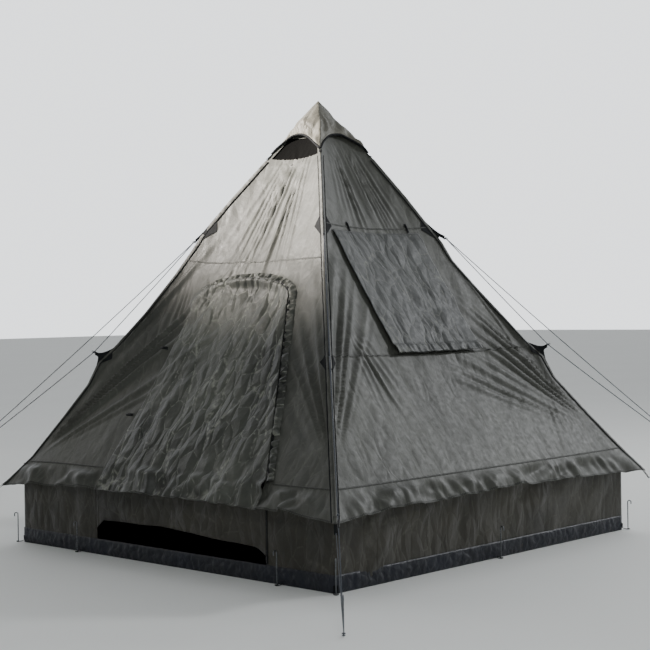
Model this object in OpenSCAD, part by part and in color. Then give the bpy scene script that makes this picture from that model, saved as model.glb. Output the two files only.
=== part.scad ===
// Square pyramid tent on one centre pole: four roof faces, a low wall, a sewn-in
// groundsheet, a zipped door, a window flap, a vent hood and four guy lines.
// The door is in the front, -Y, the window in the right side, +X. All sizes in mm.

/* [Roof] */
// Side of the square roof at its eave
eave_side = 2700; // [2500:10:2900]
// Height of the eave corners above the ground
eave_z = 336; // [320:1:360]
// Height at which the four roof faces meet
roof_z = 2575; // [2500:5:2650]
// Thickness of a sewn cloth layer
cloth = 3; // [2.5:0.1:3.2]
// Width of the loose band below the roof's lowest seam, up the slope
band_h = 180; // [170:5:190]
// How far the middle of the eave is cut above its corners, up the slope
eave_rise = 50; // [20:5:70]
// Clear gap left between two panels at a seam
seam_gap = 0.6; // [0.4:0.1:1]
// Width of the tape sewn over each ridge
tape_w = 40; // [30:1:50]

/* [Walls and floor] */
// Side of the wall at the ground
wall_side = 2520; // [2500:5:2540]
// Height of the floor sheet's upright edge
tub_h = 85; // [60:1:100]

/* [Door] */
// Left edge of the door at its foot, from the middle of the front
door_left = 480; // [450:5:500]
// Right edge of the door at its foot
door_right = 785; // [760:5:800]
// Half of the door's width where its arch begins
arch_half = 370; // [340:5:390]
// Middle of the arch, from the middle of the front
arch_mid = 35; // [0:5:50]
// Where the arch begins, up the slope from the eave
arch_up = 1250; // [1200:10:1300]
// Rise of the arch
arch_rise = 135; // [100:5:160]
// Overlap of the door flap over its opening
door_lap = 15; // [10:1:20]
// Foot of the lower door panel above the ground
panel_z = 130; // [100:5:200]

/* [Window] */
// Width of the window flap
flap_w = 740; // [700:5:760]
// Upper edge of the flap, up the slope from the eave
flap_top = 1700; // [1650:5:1720]
// Lower edge of the flap
flap_foot = 905; // [880:5:920]
// Side of the square window behind the flap
window_side = 580; // [500:10:600]

/* [Vent hood] */
// Height of the hood's point
hood_z = 2600; // [2597:1:2640]
// Half of the hood's width at its corners
hood_half = 202; // [190:1:210]
// Height of the hood's corners
hood_foot_z = 2274; // [2270:1:2280]
// Rise of the cut-out between two corners
hood_arch = 120; // [80:5:150]

/* [Pole] */
// Outside radius of the pole
pole_r = 12.5; // [10:0.5:14]
// Wall of the pole's tube
pole_wall = 1.2; // [1:0.1:2]
// Height of the pole's upper end
pole_top = 2465; // [2400:5:2465]

/* [Guy lines] */
// Radius of a guy rope
rope_r = 2; // [1.5:0.1:2.5]
// Radius of an eave cord
cord_r = 1.5; // [1:0.1:2]
// Distance of the guy pegs from the pole
peg_reach = 2690; // [2500:10:2800]
// Distance and height at which the two guy ropes meet above the runner
meet = [2235, 440]; // [400:1:2400]

/* [Pegs] */
// Radius of the peg wire
peg_r = 3; // [2.5:0.1:3]
// Length of the peg's straight shaft
peg_l = 165; // [150:1:180]
// Radius of the bend of the hook
hook_r = 10; // [9:1:14]

/* [Hidden] */

$fn = 48;
FRONT = 0;
RIGHT = 1;
BACK = 2;
LEFT = 3;
eave_half = eave_side / 2;
wall_half = wall_side / 2;
eave_r = eave_half * sqrt(2);
slope = atan2(roof_z - eave_z, eave_half);
slope_len = norm([roof_z - eave_z, eave_half]);
ridge_slope = atan2(roof_z - eave_z, eave_r);
wall_top = eave_z + (eave_half - wall_half) * tan(slope) - 1;
// Heights of the layers that lie on the roof, out from its inner face
tape_low = cloth + 0.3;
tape_high = cloth + 1.3;
flap_low = cloth + 1;
flap_high = 2 * cloth + 1;
// Seams across the front and back, and across the two sides
front_seam = 1525;
side_seams = [flap_foot, flap_top + 20];
// The vent below the hood, up the slope, and its distance from the ridges
vent_low = slope_len - 425;
vent_high = slope_len - 250;
vent_edge = 25;
mitre = 20;
window_mid = 20;
window_up = (flap_foot + flap_top) / 2;
door_foot = 30;
seam_x = door_right + 5;
hinge_x = -560;
zip_w = 10;
ring_r = 6.5;
rope_ring_z = 16;
cord_ring_z = 8;
// Guy tabs: the stretch of ridge they are sewn to, and their tips
upper_tab = [590, 718];
upper_tip = [742, 1764];
lower_tab = [1215, 1340];
lower_tip = [1346, 1112];
eave_tip = [1948, 312];
runner_at = 30;
runner_l = 45;
runner_w = 16;
slider_w = 12;
slider_l = 26;
pull_l = 35;
toggle_r = 3;
toggle_l = 34;
tie_w = 16;
crown_h = 103;
crown_low = roof_z - 105;
spike_r = 9;
spike_l = 28;
ferrule_l = 160;
pole_foot_h = 30;
pole_low = cloth + 5.3;
pole_section = (pole_top - pole_low) / 3;
loop_w = 25;
loop_l = 48;
peg_out = 35;
corner_peg_out = wall_half * sqrt(2) + peg_out;
// Wall pegs away from the corners: side, and distance along it
side_pegs = [[FRONT, -700], [FRONT, 900], [RIGHT, 0], [BACK, 0], [LEFT, 0]];
ROOF = "#5a5c52";
WALL = "#3f3d31";
HOOD = "#66645a";
TRIM = "#1d1f22";
STEEL = "#a9adb0";
SHEET = "#1c2130";

// Half of a roof face's width at a distance up the slope, with room for the mitre
function half_at(up) = eave_half * (1 - up / slope_len) + mitre;
// A point a distance n above the ridge line at radius r, as [radius, height]
function on_ridge(r, n) = [
    r + n * sin(ridge_slope),
    roof_z - (roof_z - eave_z) * r / eave_r + n * cos(ridge_slope)
];
// The door's outline, grown by m, in the plane of the front
function door_outline(m) = concat(
    [[-door_left - m, door_foot], [door_right + m, door_foot], [door_right + m, band_h]],
    [for (a = [0:10:180]) [
        arch_mid + (arch_half + m) * cos(a),
        arch_up + (arch_rise + m) * sin(a)
    ]]
);
// The left edge of the door, grown by m, at a distance up the slope
function door_edge_left(up, m) = -door_left - m
    + (up - door_foot) * (door_left + arch_mid - arch_half) / (arch_up - door_foot);

// Places a drawing on the inner face of the roof on one side, x along the eave, y up the slope
module on_face(side, low) {
    rotate([0, 0, 90 * side]) translate([0, -eave_half, eave_z])
        rotate([slope, 0, 0]) translate([0, 0, low]) children();
}

// The space above one side, up to the vertical planes of its two ridges
module sector(side, gap) {
    rotate([0, 0, 90 * side]) linear_extrude(height = roof_z + 100)
        polygon([[0, -gap], [-2 * eave_half, -2 * eave_half - gap], [2 * eave_half, -2 * eave_half - gap]]);
}

// A layer of the roof on one side, mitred at the ridges
module roof_layer(side, low, thick) {
    intersection() {
        on_face(side, low) linear_extrude(height = thick) children();
        sector(side, seam_gap);
    }
}

module strip(low, high) {
    polygon([[-half_at(low), low], [half_at(low), low], [half_at(high), high], [-half_at(high), high]]);
}

module roof_strip(side, low, high) {
    color(ROOF) roof_layer(side, 0, cloth) strip(low + seam_gap, high - seam_gap);
}

// The trapezoid of a vent, grown by m on every side
module vent(m) {
    low = vent_low - m;
    high = vent_high + m;
    half_low = half_at(low) - mitre - vent_edge + m;
    half_high = half_at(high) - mitre - vent_edge + m;
    polygon([[-half_low, low], [half_low, low], [half_high, high], [-half_high, high]]);
}

module roof_top_with_vent(side) {
    color(ROOF) roof_layer(side, 0, cloth) difference() {
        strip(front_seam + seam_gap, slope_len);
        vent(0);
    }
}

module roof_front_top() { roof_top_with_vent(FRONT); }
module roof_back_top() { roof_top_with_vent(BACK); }
module roof_back_bottom() { roof_strip(BACK, band_h, front_seam); }
module roof_right_top() { roof_strip(RIGHT, side_seams[1], slope_len); }
module roof_right_bottom() { roof_strip(RIGHT, band_h, side_seams[0]); }
module roof_left_top() { roof_strip(LEFT, side_seams[1], slope_len); }
module roof_left_middle() { roof_strip(LEFT, side_seams[0], side_seams[1]); }
module roof_left_bottom() { roof_strip(LEFT, band_h, side_seams[0]); }

module roof_front_left() {
    low = band_h + seam_gap;
    high = front_seam - seam_gap;
    color(ROOF) roof_layer(FRONT, 0, cloth) polygon([
        [-half_at(low), low], [door_edge_left(low, 0), low],
        [door_edge_left(high, 0), high], [-half_at(high), high]
    ]);
}

module roof_front_right() {
    low = band_h + seam_gap;
    high = front_seam - seam_gap;
    arch_right = arch_mid + arch_half;
    color(ROOF) roof_layer(FRONT, 0, cloth) polygon([
        [half_at(low), low], [half_at(high), high],
        [arch_right, high], [arch_right, arch_up], [door_right, low]
    ]);
}

// The piece over the door, cut out along the arch
module roof_front_head() {
    high = front_seam - seam_gap;
    color(ROOF) roof_layer(FRONT, 0, cloth) difference() {
        polygon([
            [door_edge_left(arch_up, 0) + seam_gap, arch_up], [arch_mid + arch_half - seam_gap, arch_up],
            [arch_mid + arch_half - seam_gap, high], [door_edge_left(high, 0) + seam_gap, high]
        ]);
        polygon(door_outline(0));
    }
}

module roof_right_middle() {
    color(ROOF) roof_layer(RIGHT, 0, cloth) difference() {
        strip(side_seams[0] + seam_gap, side_seams[1] - seam_gap);
        translate([window_mid, window_up]) square(window_side, center = true);
    }
}

// The loose band below the lowest seam, its lower edge cut in a long curve
module band_outline() {
    steps = 8;
    polygon(concat(
        [for (i = [-steps:steps]) [i / steps * (eave_half + 10), eave_rise * (1 - pow(abs(i) / steps, 4))]],
        [[half_at(band_h), band_h - seam_gap], [-half_at(band_h), band_h - seam_gap]]
    ));
}

module eave_band(side) {
    color(ROOF) roof_layer(side, 0, cloth) band_outline();
}

module eave_band_front() {
    color(ROOF) roof_layer(FRONT, 0, cloth) difference() {
        band_outline();
        translate([-door_left, -1]) square([door_left + door_right, band_h + 2]);
    }
}

// Tape over each ridge, folded down on both sides of it
module ridge_tapes() {
    color(TRIM) for (corner = [0:3]) intersection() {
        for (side = [corner, corner + 1])
            intersection() {
                on_face(side, tape_low) linear_extrude(height = tape_high - tape_low)
                    strip(0, slope_len - 440);
                sector(side, 0);
            }
        rotate([0, 0, 90 * corner - 45]) translate([0, -tape_w / 2, 0]) cube([eave_r + 20, tape_w, roof_z]);
    }
}

// Hood over the vents, one folded cone of cloth with its edge cut up between the corners
module vent_hood() {
    steps = 8;
    hood_slope = atan2(hood_z - hood_foot_z, hood_half);
    hood_len = norm([hood_z - hood_foot_z, hood_half]);
    color(HOOD) for (side = [0:3]) intersection() {
        rotate([0, 0, 90 * side]) translate([0, -hood_half, hood_foot_z]) rotate([hood_slope, 0, 0])
            translate([0, 0, -cloth]) linear_extrude(height = cloth) polygon(concat(
                [for (i = [-steps:steps]) [i / steps * hood_half, hood_arch * (1 - pow(i / steps, 2))]],
                [[0, hood_len]]
            ));
        sector(side, 0.1);
    }
}

// Straps that hold the hood's corners down to the ridges
module hood_straps() {
    foot_r = hood_half * sqrt(2);
    color(TRIM) for (corner = [0:3]) ridge_plate(corner, 12, [
        [foot_r - 8, hood_foot_z - 8], [foot_r + 3, hood_foot_z - 8],
        on_ridge(foot_r + 26, 6), on_ridge(foot_r + 8, 6)
    ]);
}

module vent_meshes() {
    color(TRIM) for (side = [FRONT, BACK]) intersection() {
        on_face(side, -1.5) linear_extrude(height = 1) vent(12);
        sector(side, 3);
    }
}

// Sewn crown inside the point of the roof, with a pocket for the pole's tip
module apex_crown() {
    half = crown_h / tan(slope);
    color(TRIM) difference() {
        intersection_for(turn = [0, 90]) rotate([90, 0, turn])
            linear_extrude(height = 4 * half, center = true)
                polygon([[-half, crown_low], [half, crown_low], [0, crown_low + crown_h]]);
        translate([0, 0, crown_low - 1]) cylinder(h = 2 * spike_l, r = spike_r + 1.5);
    }
}

// A flat plate in the vertical plane of a ridge, from points as [radius, height]
module ridge_plate(corner, thick, points) {
    rotate([0, 0, 90 * corner - 45]) rotate([90, 0, 0])
        linear_extrude(height = thick, center = true) polygon(points);
}

module wall(side, from, to) {
    color(WALL) rotate([0, 0, 90 * side])
        translate([from, -wall_half, tub_h + seam_gap]) cube([to - from, cloth, wall_top - tub_h - seam_gap]);
}

module wall_front_left() { wall(FRONT, -wall_half, hinge_x - 2); }
module wall_front_right() { wall(FRONT, seam_x + 2, wall_half); }
module wall_back() { wall(BACK, -wall_half, wall_half); }
module wall_right() { wall(RIGHT, -wall_half + cloth + 0.2, wall_half - cloth - 0.2); }
module wall_left() { wall(LEFT, -wall_half + cloth + 0.2, wall_half - cloth - 0.2); }

module groundsheet() {
    color(SHEET) translate([-wall_half, -wall_half, 0]) cube([wall_side, wall_side, cloth]);
}

// Upright edge of the floor sheet, as four pieces that meet at the corners
module groundsheet_edge() {
    color(SHEET) for (side = [0:3]) rotate([0, 0, 90 * side])
        translate([-wall_half, -wall_half, cloth + 0.1])
            cube([wall_side - cloth - 0.2, cloth, tub_h - cloth - 0.1]);
}

// Door flap in the slope, which takes the place of the eave band at its foot
module door_flap() {
    color(ROOF) on_face(FRONT, flap_low) linear_extrude(height = cloth) polygon(door_outline(door_lap));
}

// Lower door panel in the wall, behind the band
module door_panel() {
    color(WALL) translate([hinge_x, -wall_half, panel_z])
        cube([seam_x - hinge_x, cloth, wall_top - panel_z]);
}

// Zip along the arch and the right edge of the door flap
module door_zip() {
    gap = door_lap + 1;
    zip_end = arch_up + 80;
    color(TRIM) on_face(FRONT, tape_low) linear_extrude(height = 2.5) difference() {
        polygon(door_outline(gap + zip_w));
        polygon(door_outline(gap));
        translate([-door_left - 100, 0]) square([2 * eave_half, band_h + 20]);
        polygon([
            [-eave_half, 0], [door_edge_left(0, gap - 5), 0],
            [door_edge_left(zip_end, gap - 5), zip_end], [-eave_half, zip_end]
        ]);
    }
}

// Zip slider with its pull hanging down
module slider_body() {
    translate([-slider_w / 2, -slider_l / 2, 0]) cube([slider_w, slider_l, 4]);
    translate([-slider_w / 4, -slider_l / 2 - pull_l, 1]) cube([slider_w / 2, pull_l, 1.5]);
}

module door_zip_slider() {
    up = band_h + 75;
    run = [arch_mid + arch_half - door_right, arch_up - band_h];
    edge = door_right + run[0] * (up - band_h) / run[1];
    color(TRIM) on_face(FRONT, tape_low + 2.8)
        translate([edge + door_lap + 1 + zip_w / 2 + 2, up])
            rotate([0, 0, atan2(-run[0], run[1])]) slider_body();
}

module wall_zip() {
    color(TRIM) translate([seam_x + 4, -wall_half - 2.8, tub_h + 5])
        cube([zip_w, 2.5, 230]);
}

module wall_zip_slider() {
    color(TRIM) translate([seam_x + 4 + zip_w / 2, -wall_half - 3.1, tub_h + 62])
        rotate([90, 0, 0]) slider_body();
}

// Straps with toggles that hold the rolled door
module door_ties() {
    color(TRIM) for (up = [520, 950]) on_face(FRONT, tape_low)
        translate([door_edge_left(up, door_lap) - 90, up]) {
            cube([60, tie_w, 1.5]);
            translate([0, tie_w / 2, toggle_r + 1.6]) rotate([0, 90, 0]) cylinder(h = toggle_l, r = toggle_r);
        }
}

module window_flap() {
    color(ROOF) on_face(RIGHT, flap_low) translate([window_mid - flap_w / 2, flap_foot])
        cube([flap_w, flap_top - flap_foot, cloth]);
}

module window_mesh() {
    lap = 10;
    color(TRIM) on_face(RIGHT, -1.5) translate([window_mid, window_up, 0]) linear_extrude(height = 1)
        square(window_side + 2 * lap, center = true);
}

// Straps with toggles that hold the rolled window flap
module window_ties() {
    color(TRIM) for (x = [-250, 250]) on_face(RIGHT, tape_low)
        translate([window_mid + x, flap_top + 6, 0]) {
            translate([-tie_w / 2, 0, 0]) cube([tie_w, 60, 1.5]);
            translate([0, 20, toggle_r + 1.6]) rotate([-90, 0, 0]) cylinder(h = toggle_l, r = toggle_r);
        }
}

module tube(low, high) {
    color(STEEL) translate([0, 0, low]) difference() {
        cylinder(h = high - low, r = pole_r);
        translate([0, 0, -1]) cylinder(h = high - low + 2, r = pole_r - pole_wall);
    }
}

module pole_lower() { tube(pole_low, pole_low + pole_section - 0.1); }
module pole_middle() { tube(pole_low + pole_section, pole_low + 2 * pole_section - 0.1); }
module pole_upper() { tube(pole_low + 2 * pole_section, pole_top); }

// Inner sleeves that join the pole's sections
module pole_ferrules() {
    color(STEEL) for (i = [1, 2])
        translate([0, 0, pole_low + i * pole_section - ferrule_l / 2]) difference() {
            cylinder(h = ferrule_l, r = pole_r - pole_wall - 0.05);
            translate([0, 0, -1]) cylinder(h = ferrule_l + 2, r = pole_r - 2 * pole_wall);
        }
}

module pole_foot() {
    color(TRIM) translate([0, 0, cloth + 0.2]) difference() {
        cylinder(h = pole_foot_h, r1 = 22, r2 = 16);
        translate([0, 0, 5]) cylinder(h = pole_foot_h, r = pole_r + 0.05);
    }
}

// Plug in the top of the pole, with a round-ended spike for the crown's pocket
module pole_tip() {
    color(TRIM) {
        translate([0, 0, pole_top - 30]) cylinder(h = 30, r = pole_r - pole_wall - 0.05);
        translate([0, 0, pole_top - 0.1]) cylinder(h = spike_l, r = spike_r);
        translate([0, 0, pole_top - 0.1 + spike_l]) sphere(r = spike_r);
    }
}

module upper_guy_tabs() {
    color(TRIM) for (corner = [0:3]) ridge_plate(corner, cloth, [
        on_ridge(upper_tab[0], 6), on_ridge(upper_tab[1], 6),
        [upper_tip[0], upper_tip[1] - 16], upper_tip
    ]);
}

module lower_guy_tabs() {
    color(TRIM) for (corner = [0:3]) ridge_plate(corner, cloth, [
        on_ridge(lower_tab[0], 6), on_ridge(lower_tab[1], 6),
        [lower_tip[0], lower_tip[1] - 14], lower_tip,
        [lower_tip[0] - 14, lower_tip[1]], on_ridge(lower_tab[0] + 70, 45)
    ]);
}

// Webbing loops at the four points of the eave
module eave_corner_loops() {
    color(TRIM) for (corner = [0:3]) ridge_plate(corner, cloth, [
        [eave_r + 6, eave_z - 2], [eave_tip[0] - 3, eave_tip[1] + 5],
        [eave_tip[0] - 3, eave_tip[1] - 5], [eave_r + 6, eave_z - 16]
    ]);
}

// A straight length of rope in the plane of a ridge, with a knot at its start
module rope(from, to, r, knot) {
    run = to - from;
    translate([from[0], 0, from[1]]) {
        sphere(r = knot);
        rotate([0, atan2(run[0], run[1]), 0]) cylinder(h = norm(run), r = r);
    }
}

// The loop round a peg
module peg_ring(z, r) {
    translate([peg_reach, 0, z]) rotate_extrude() translate([ring_r, 0]) circle(r = r);
}

// One guy rope: from the peg through the runner, up to both tabs and down between them
module guy_rope(corner) {
    upper = upper_tip + [5, -3];
    lower = lower_tip + [6, 4];
    foot = [peg_reach - ring_r, rope_ring_z];
    knot = rope_r + 1.6;
    color(TRIM) rotate([0, 0, 90 * corner - 45]) {
        rope(upper, lower, rope_r, knot);
        rope(meet, upper, rope_r, knot + 1);
        rope(lower, meet, rope_r, knot);
        rope(foot, meet, rope_r, rope_r + 0.7);
        peg_ring(rope_ring_z, rope_r);
    }
}

module guy_rope_front_right() { guy_rope(0); }
module guy_rope_back_right() { guy_rope(1); }
module guy_rope_back_left() { guy_rope(2); }
module guy_rope_front_left() { guy_rope(3); }

// Runner that slides on the rope between the meeting point and the peg
module runner(corner) {
    run = [peg_reach - ring_r, rope_ring_z] - meet;
    color(TRIM) rotate([0, 0, 90 * corner - 45]) translate([meet[0], 0, meet[1]])
        rotate([0, atan2(run[0], run[1]), 0]) difference() {
            translate([-runner_w / 2, -runner_w / 4, runner_at]) cube([runner_w, runner_w / 2, runner_l]);
            translate([0, 0, runner_at - 1]) cylinder(h = runner_l + 2, r = rope_r + 0.6);
        }
}

module runner_front_right() { runner(0); }
module runner_back_right() { runner(1); }
module runner_back_left() { runner(2); }
module runner_front_left() { runner(3); }

module eave_cords() {
    color(TRIM) for (corner = [0:3]) rotate([0, 0, 90 * corner - 45]) {
        rope(eave_tip, [peg_reach - ring_r, cord_ring_z], cord_r, cord_r + 1);
        peg_ring(cord_ring_z, cord_r);
    }
}

// Steel wire peg with a pointed shaft and a bent hook, its point on the ground
module peg() {
    point = 14;
    cylinder(h = point, r1 = 0.6, r2 = peg_r);
    translate([0, 0, point]) cylinder(h = peg_l - point, r = peg_r);
    translate([hook_r, 0, peg_l]) rotate([90, 0, 0]) rotate_extrude(angle = 180)
        translate([hook_r, 0]) circle(r = peg_r);
    translate([2 * hook_r, 0, peg_l - 12]) cylinder(h = 12, r = peg_r);
}

module guy_pegs() {
    color(STEEL) for (corner = [0:3]) rotate([0, 0, 90 * corner - 45]) translate([peg_reach, 0, 0]) peg();
}

module wall_pegs() {
    color(STEEL) {
        for (corner = [0:3]) rotate([0, 0, 90 * corner - 45]) translate([corner_peg_out, 0, 0]) peg();
        for (spot = side_pegs) rotate([0, 0, 90 * spot[0]])
            translate([spot[1], -wall_half - peg_out, 0]) rotate([0, 0, -90]) peg();
    }
}

// A flat webbing loop with a hole for its peg, reaching out from the wall along +X
module peg_loop(start) {
    difference() {
        translate([start, -loop_w / 2, cloth + 0.5]) cube([loop_l - start, loop_w, 2]);
        translate([peg_out, 0, 0]) cylinder(h = 20, r = peg_r + 1.5);
    }
}

module wall_peg_loops() {
    color(TRIM) {
        for (corner = [0:3]) rotate([0, 0, 90 * corner - 45])
            translate([corner_peg_out - peg_out, 0, 0]) peg_loop(loop_w / 2 + 1);
        for (spot = side_pegs) rotate([0, 0, 90 * spot[0]])
            translate([spot[1], -wall_half, 0]) rotate([0, 0, -90]) peg_loop(0.3);
    }
}

roof_front_top();
roof_front_head();
roof_front_left();
roof_front_right();
roof_right_top();
roof_right_middle();
roof_right_bottom();
roof_back_top();
roof_back_bottom();
roof_left_top();
roof_left_middle();
roof_left_bottom();
eave_band_front();
eave_band(RIGHT);  // eave_band_right
eave_band(BACK);  // eave_band_back
eave_band(LEFT);  // eave_band_left
ridge_tapes();
vent_hood();
hood_straps();
vent_meshes();
apex_crown();
wall_front_left();
wall_front_right();
wall_right();
wall_back();
wall_left();
groundsheet();
groundsheet_edge();
door_flap();
door_panel();
door_zip();
door_zip_slider();
wall_zip();
wall_zip_slider();
door_ties();
window_flap();
window_mesh();
window_ties();
pole_foot();
pole_lower();
pole_middle();
pole_upper();
pole_ferrules();
pole_tip();
upper_guy_tabs();
lower_guy_tabs();
eave_corner_loops();
guy_rope_front_right();
guy_rope_back_right();
guy_rope_back_left();
guy_rope_front_left();
runner_front_right();
runner_back_right();
runner_back_left();
runner_front_left();
eave_cords();
guy_pegs();
wall_peg_loops();
wall_pegs();
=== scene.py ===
import math

import bmesh
import bpy
import numpy as np
from mathutils import Matrix, Vector, noise


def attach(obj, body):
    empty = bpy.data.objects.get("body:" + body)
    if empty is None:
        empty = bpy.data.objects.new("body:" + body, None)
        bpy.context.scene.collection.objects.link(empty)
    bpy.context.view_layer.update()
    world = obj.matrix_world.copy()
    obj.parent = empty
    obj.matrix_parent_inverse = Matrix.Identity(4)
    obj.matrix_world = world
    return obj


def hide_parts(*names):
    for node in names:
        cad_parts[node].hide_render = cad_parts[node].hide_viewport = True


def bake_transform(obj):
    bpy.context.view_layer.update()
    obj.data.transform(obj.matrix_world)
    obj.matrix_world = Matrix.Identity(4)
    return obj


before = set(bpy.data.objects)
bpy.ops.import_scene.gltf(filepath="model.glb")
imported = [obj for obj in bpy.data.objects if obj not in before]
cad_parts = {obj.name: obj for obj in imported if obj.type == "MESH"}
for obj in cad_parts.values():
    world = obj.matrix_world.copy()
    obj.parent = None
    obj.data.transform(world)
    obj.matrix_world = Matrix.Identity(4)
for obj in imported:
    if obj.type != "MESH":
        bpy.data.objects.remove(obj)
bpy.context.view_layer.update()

# ---- Camera
# Stands about eight and a half metres out from the front right corner of the tent,
# at chest height, and looks level, a little rolled.
camera_turn = math.radians(43.5)
camera_reach = 8.667
camera_height = 1.3535
lens_length, sensor_width = 80.7, 36
look_aside, look_down, roll = (math.radians(a) for a in (0.13, 0.65, 0.91))
camera = bpy.data.objects.new("camera", bpy.data.cameras.new("camera"))
bpy.context.scene.collection.objects.link(camera)
camera.data.lens = lens_length
camera.data.sensor_width = sensor_width
camera.matrix_world = (
    Matrix.Translation((camera_reach * math.sin(camera_turn), -camera_reach * math.cos(camera_turn),
                        camera_height))
    @ Matrix.Rotation(camera_turn - look_aside, 4, "Z")
    @ Matrix.Rotation(math.radians(90) - look_down, 4, "X")
    @ Matrix.Rotation(-roll, 4, "Z"))
bpy.context.scene.camera = camera

# ---- Guy ropes
# Braided polyester rope, about 5 mm thick, one set to each ridge: from the upper tab and from the
# lower tab to a meeting knot, and on through a runner to the peg. Held tight, it hardly sags.


def linear(hex_colour):
    parts = [int(hex_colour[i:i + 2], 16) / 255 for i in (1, 3, 5)]
    return tuple(p / 12.92 if p <= 0.04045 else ((p + 0.055) / 1.055) ** 2.4 for p in parts) + (1.0,)


def add_node(tree, kind, inputs=(), **settings):
    made = tree.nodes.new("ShaderNode" + kind)
    for key, value in settings.items():
        setattr(made, key, value)
    for key, value in dict(inputs).items():
        if isinstance(value, bpy.types.NodeSocket):
            tree.links.new(value, made.inputs[key])
        else:
            made.inputs[key].default_value = value
    return made


def new_material(name):
    material = bpy.data.materials.new(name)
    material.use_nodes = True
    material.node_tree.nodes.clear()
    return material, material.node_tree


def two_tone(tree, share, dark, light):
    return add_node(tree, "Mix", {0: share, 6: linear(dark), 7: linear(light)},
                    data_type="RGBA").outputs[2]


def close_material(tree, looks):
    """Ends a material with a Principled shader that has these inputs."""
    shader = add_node(tree, "BsdfPrincipled", looks)
    add_node(tree, "OutputMaterial", {"Surface": shader.outputs[0]})


# Braided polyester cord: matt, with a diagonal braid two millimetres apart. The bands of a wave
# texture are wave_period metres apart at scale 1.
wave_period = 0.314
rope_cloth, tree = new_material("braided_polyester_cord")
along = add_node(tree, "UVMap", uv_map="flat").outputs[0]
tilted = [add_node(tree, "Mapping", {"Vector": along, "Rotation": (0, 0, math.radians(a))}).outputs[0]
          for a in (38, -38)]
strands = [add_node(tree, "TexWave", {"Vector": v, "Scale": wave_period / 0.002}).outputs["Fac"]
           for v in tilted]
braid = add_node(tree, "Math", {0: strands[0], 1: strands[1]}, operation="MAXIMUM").outputs[0]
tint = two_tone(tree, braid, "#15181f", "#39404c")
bump = add_node(tree, "Bump", {"Height": braid, "Distance": 0.0006, "Strength": 0.8})
close_material(tree, {
    "Base Color": tint, "Roughness": 0.75, "Normal": bump.outputs[0], "Sheen Weight": 0.2})


def cloth_grid(x0, x1, y0, y1, cell, cell_y=None):
    bm = bmesh.new()
    bmesh.ops.create_grid(bm, x_segments=max(1, round((x1 - x0) / cell)),
                          y_segments=max(1, round((y1 - y0) / (cell_y or cell))), size=0.5)
    bmesh.ops.scale(bm, vec=(x1 - x0, y1 - y0, 1), verts=bm.verts)
    bmesh.ops.translate(bm, vec=((x0 + x1) / 2, (y0 + y1) / 2, 0), verts=bm.verts)
    return bm


def keep_flat_size(bm, flat_of=None):
    """Writes each point's place on the flat cloth, in metres, to the piece's own UV map."""
    layer = bm.loops.layers.uv.new("flat")
    for face in bm.faces:
        for loop in face.loops:
            loop[layer].uv = flat_of(face, loop.vert.co) if flat_of else loop.vert.co.xy


def lay(bm, place):
    """Moves every point of a flat piece to where place puts it."""
    for v, p in zip(bm.verts, place(np.array([v.co[:2] for v in bm.verts]))):
        v.co = p


def as_piece(name, bm, material, body="tent", thick=0, replaces=(), smooth=True):
    mesh = bpy.data.meshes.new(name)
    bm.to_mesh(mesh)
    bm.free()
    mesh.materials.append(material)
    if smooth:
        mesh.shade_smooth()
    piece = bpy.data.objects.new(name, mesh)
    bpy.context.scene.collection.objects.link(piece)
    if thick:
        made = piece.modifiers.new("thickness", "SOLIDIFY")
        made.thickness = thick
        made.offset = 0
    if body:
        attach(piece, body)
    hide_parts(*replaces)
    return piece


def tube_mesh(path, radius, around=8):
    """A closed tube along a path of points, with its length along the flat map."""
    path = [Vector(p) for p in path]
    steps = [0.0]
    for a, b in zip(path, path[1:]):
        steps.append(steps[-1] + (b - a).length)
    bm = cloth_grid(0, len(path) - 1, 0, around, 1)
    layer = bm.loops.layers.uv.new("flat")
    for face in bm.faces:
        for loop in face.loops:
            loop[layer].uv = (steps[round(loop.vert.co.x)], loop.vert.co.y / around * 2 * math.pi * radius)
    directions = [(path[min(i + 1, len(path) - 1)] - path[max(i - 1, 0)]).normalized()
                  for i in range(len(path))]
    sides = [directions[0].orthogonal().normalized()]
    for d in directions[1:]:
        sides.append((sides[-1] - d * sides[-1].dot(d)).normalized())
    for v in bm.verts:
        i, turn = round(v.co.x), v.co.y / around * 2 * math.pi
        v.co = path[i] + radius * (sides[i] * math.cos(turn)
                                   + directions[i].cross(sides[i]) * math.sin(turn))
    bmesh.ops.remove_doubles(bm, verts=bm.verts, dist=radius * 0.05)
    bmesh.ops.holes_fill(bm, edges=[e for e in bm.edges if e.is_boundary])
    bmesh.ops.recalc_face_normals(bm, faces=bm.faces)
    return bm


def join(target, *others):
    """Adds the meshes of the others to the target bmesh."""
    for other in others:
        held = bpy.data.meshes.new("held")
        other.to_mesh(held)
        other.free()
        target.from_mesh(held)
        bpy.data.meshes.remove(held)
    return target


def full_turn(points):
    return [i / points * 2 * math.pi for i in range(points + 1)]


def knot_mesh(centre, radius, along):
    """A small overhand knot: a ball of two crossed turns of rope."""
    turns = 40
    frame_of = Vector(along).to_track_quat("Z", "Y").to_matrix()
    return tube_mesh([Vector(centre) + frame_of @ Vector((
        (1.5 + 0.75 * math.cos(3 * t)) * math.cos(2 * t),
        (1.5 + 0.75 * math.cos(3 * t)) * math.sin(2 * t),
        1.3 * math.sin(3 * t))) * radius * 0.85 for t in full_turn(turns)], radius, 6)


def sagging(a, b, sag, points=16):
    a, b = Vector(a), Vector(b)
    return [a.lerp(b, i / points) - Vector((0, 0, 4 * sag * (i / points) * (1 - i / points)))
            for i in range(points + 1)]


CORNERS = ("front_right", "back_right", "back_left", "front_left")
rope_radius = 0.0024
upper_eye = (0.747, 1.761)
lower_eye = (1.352, 1.116)
meet = (2.235, 0.440)
peg_reach = 2.690
peg_ring = 0.0065


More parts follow.
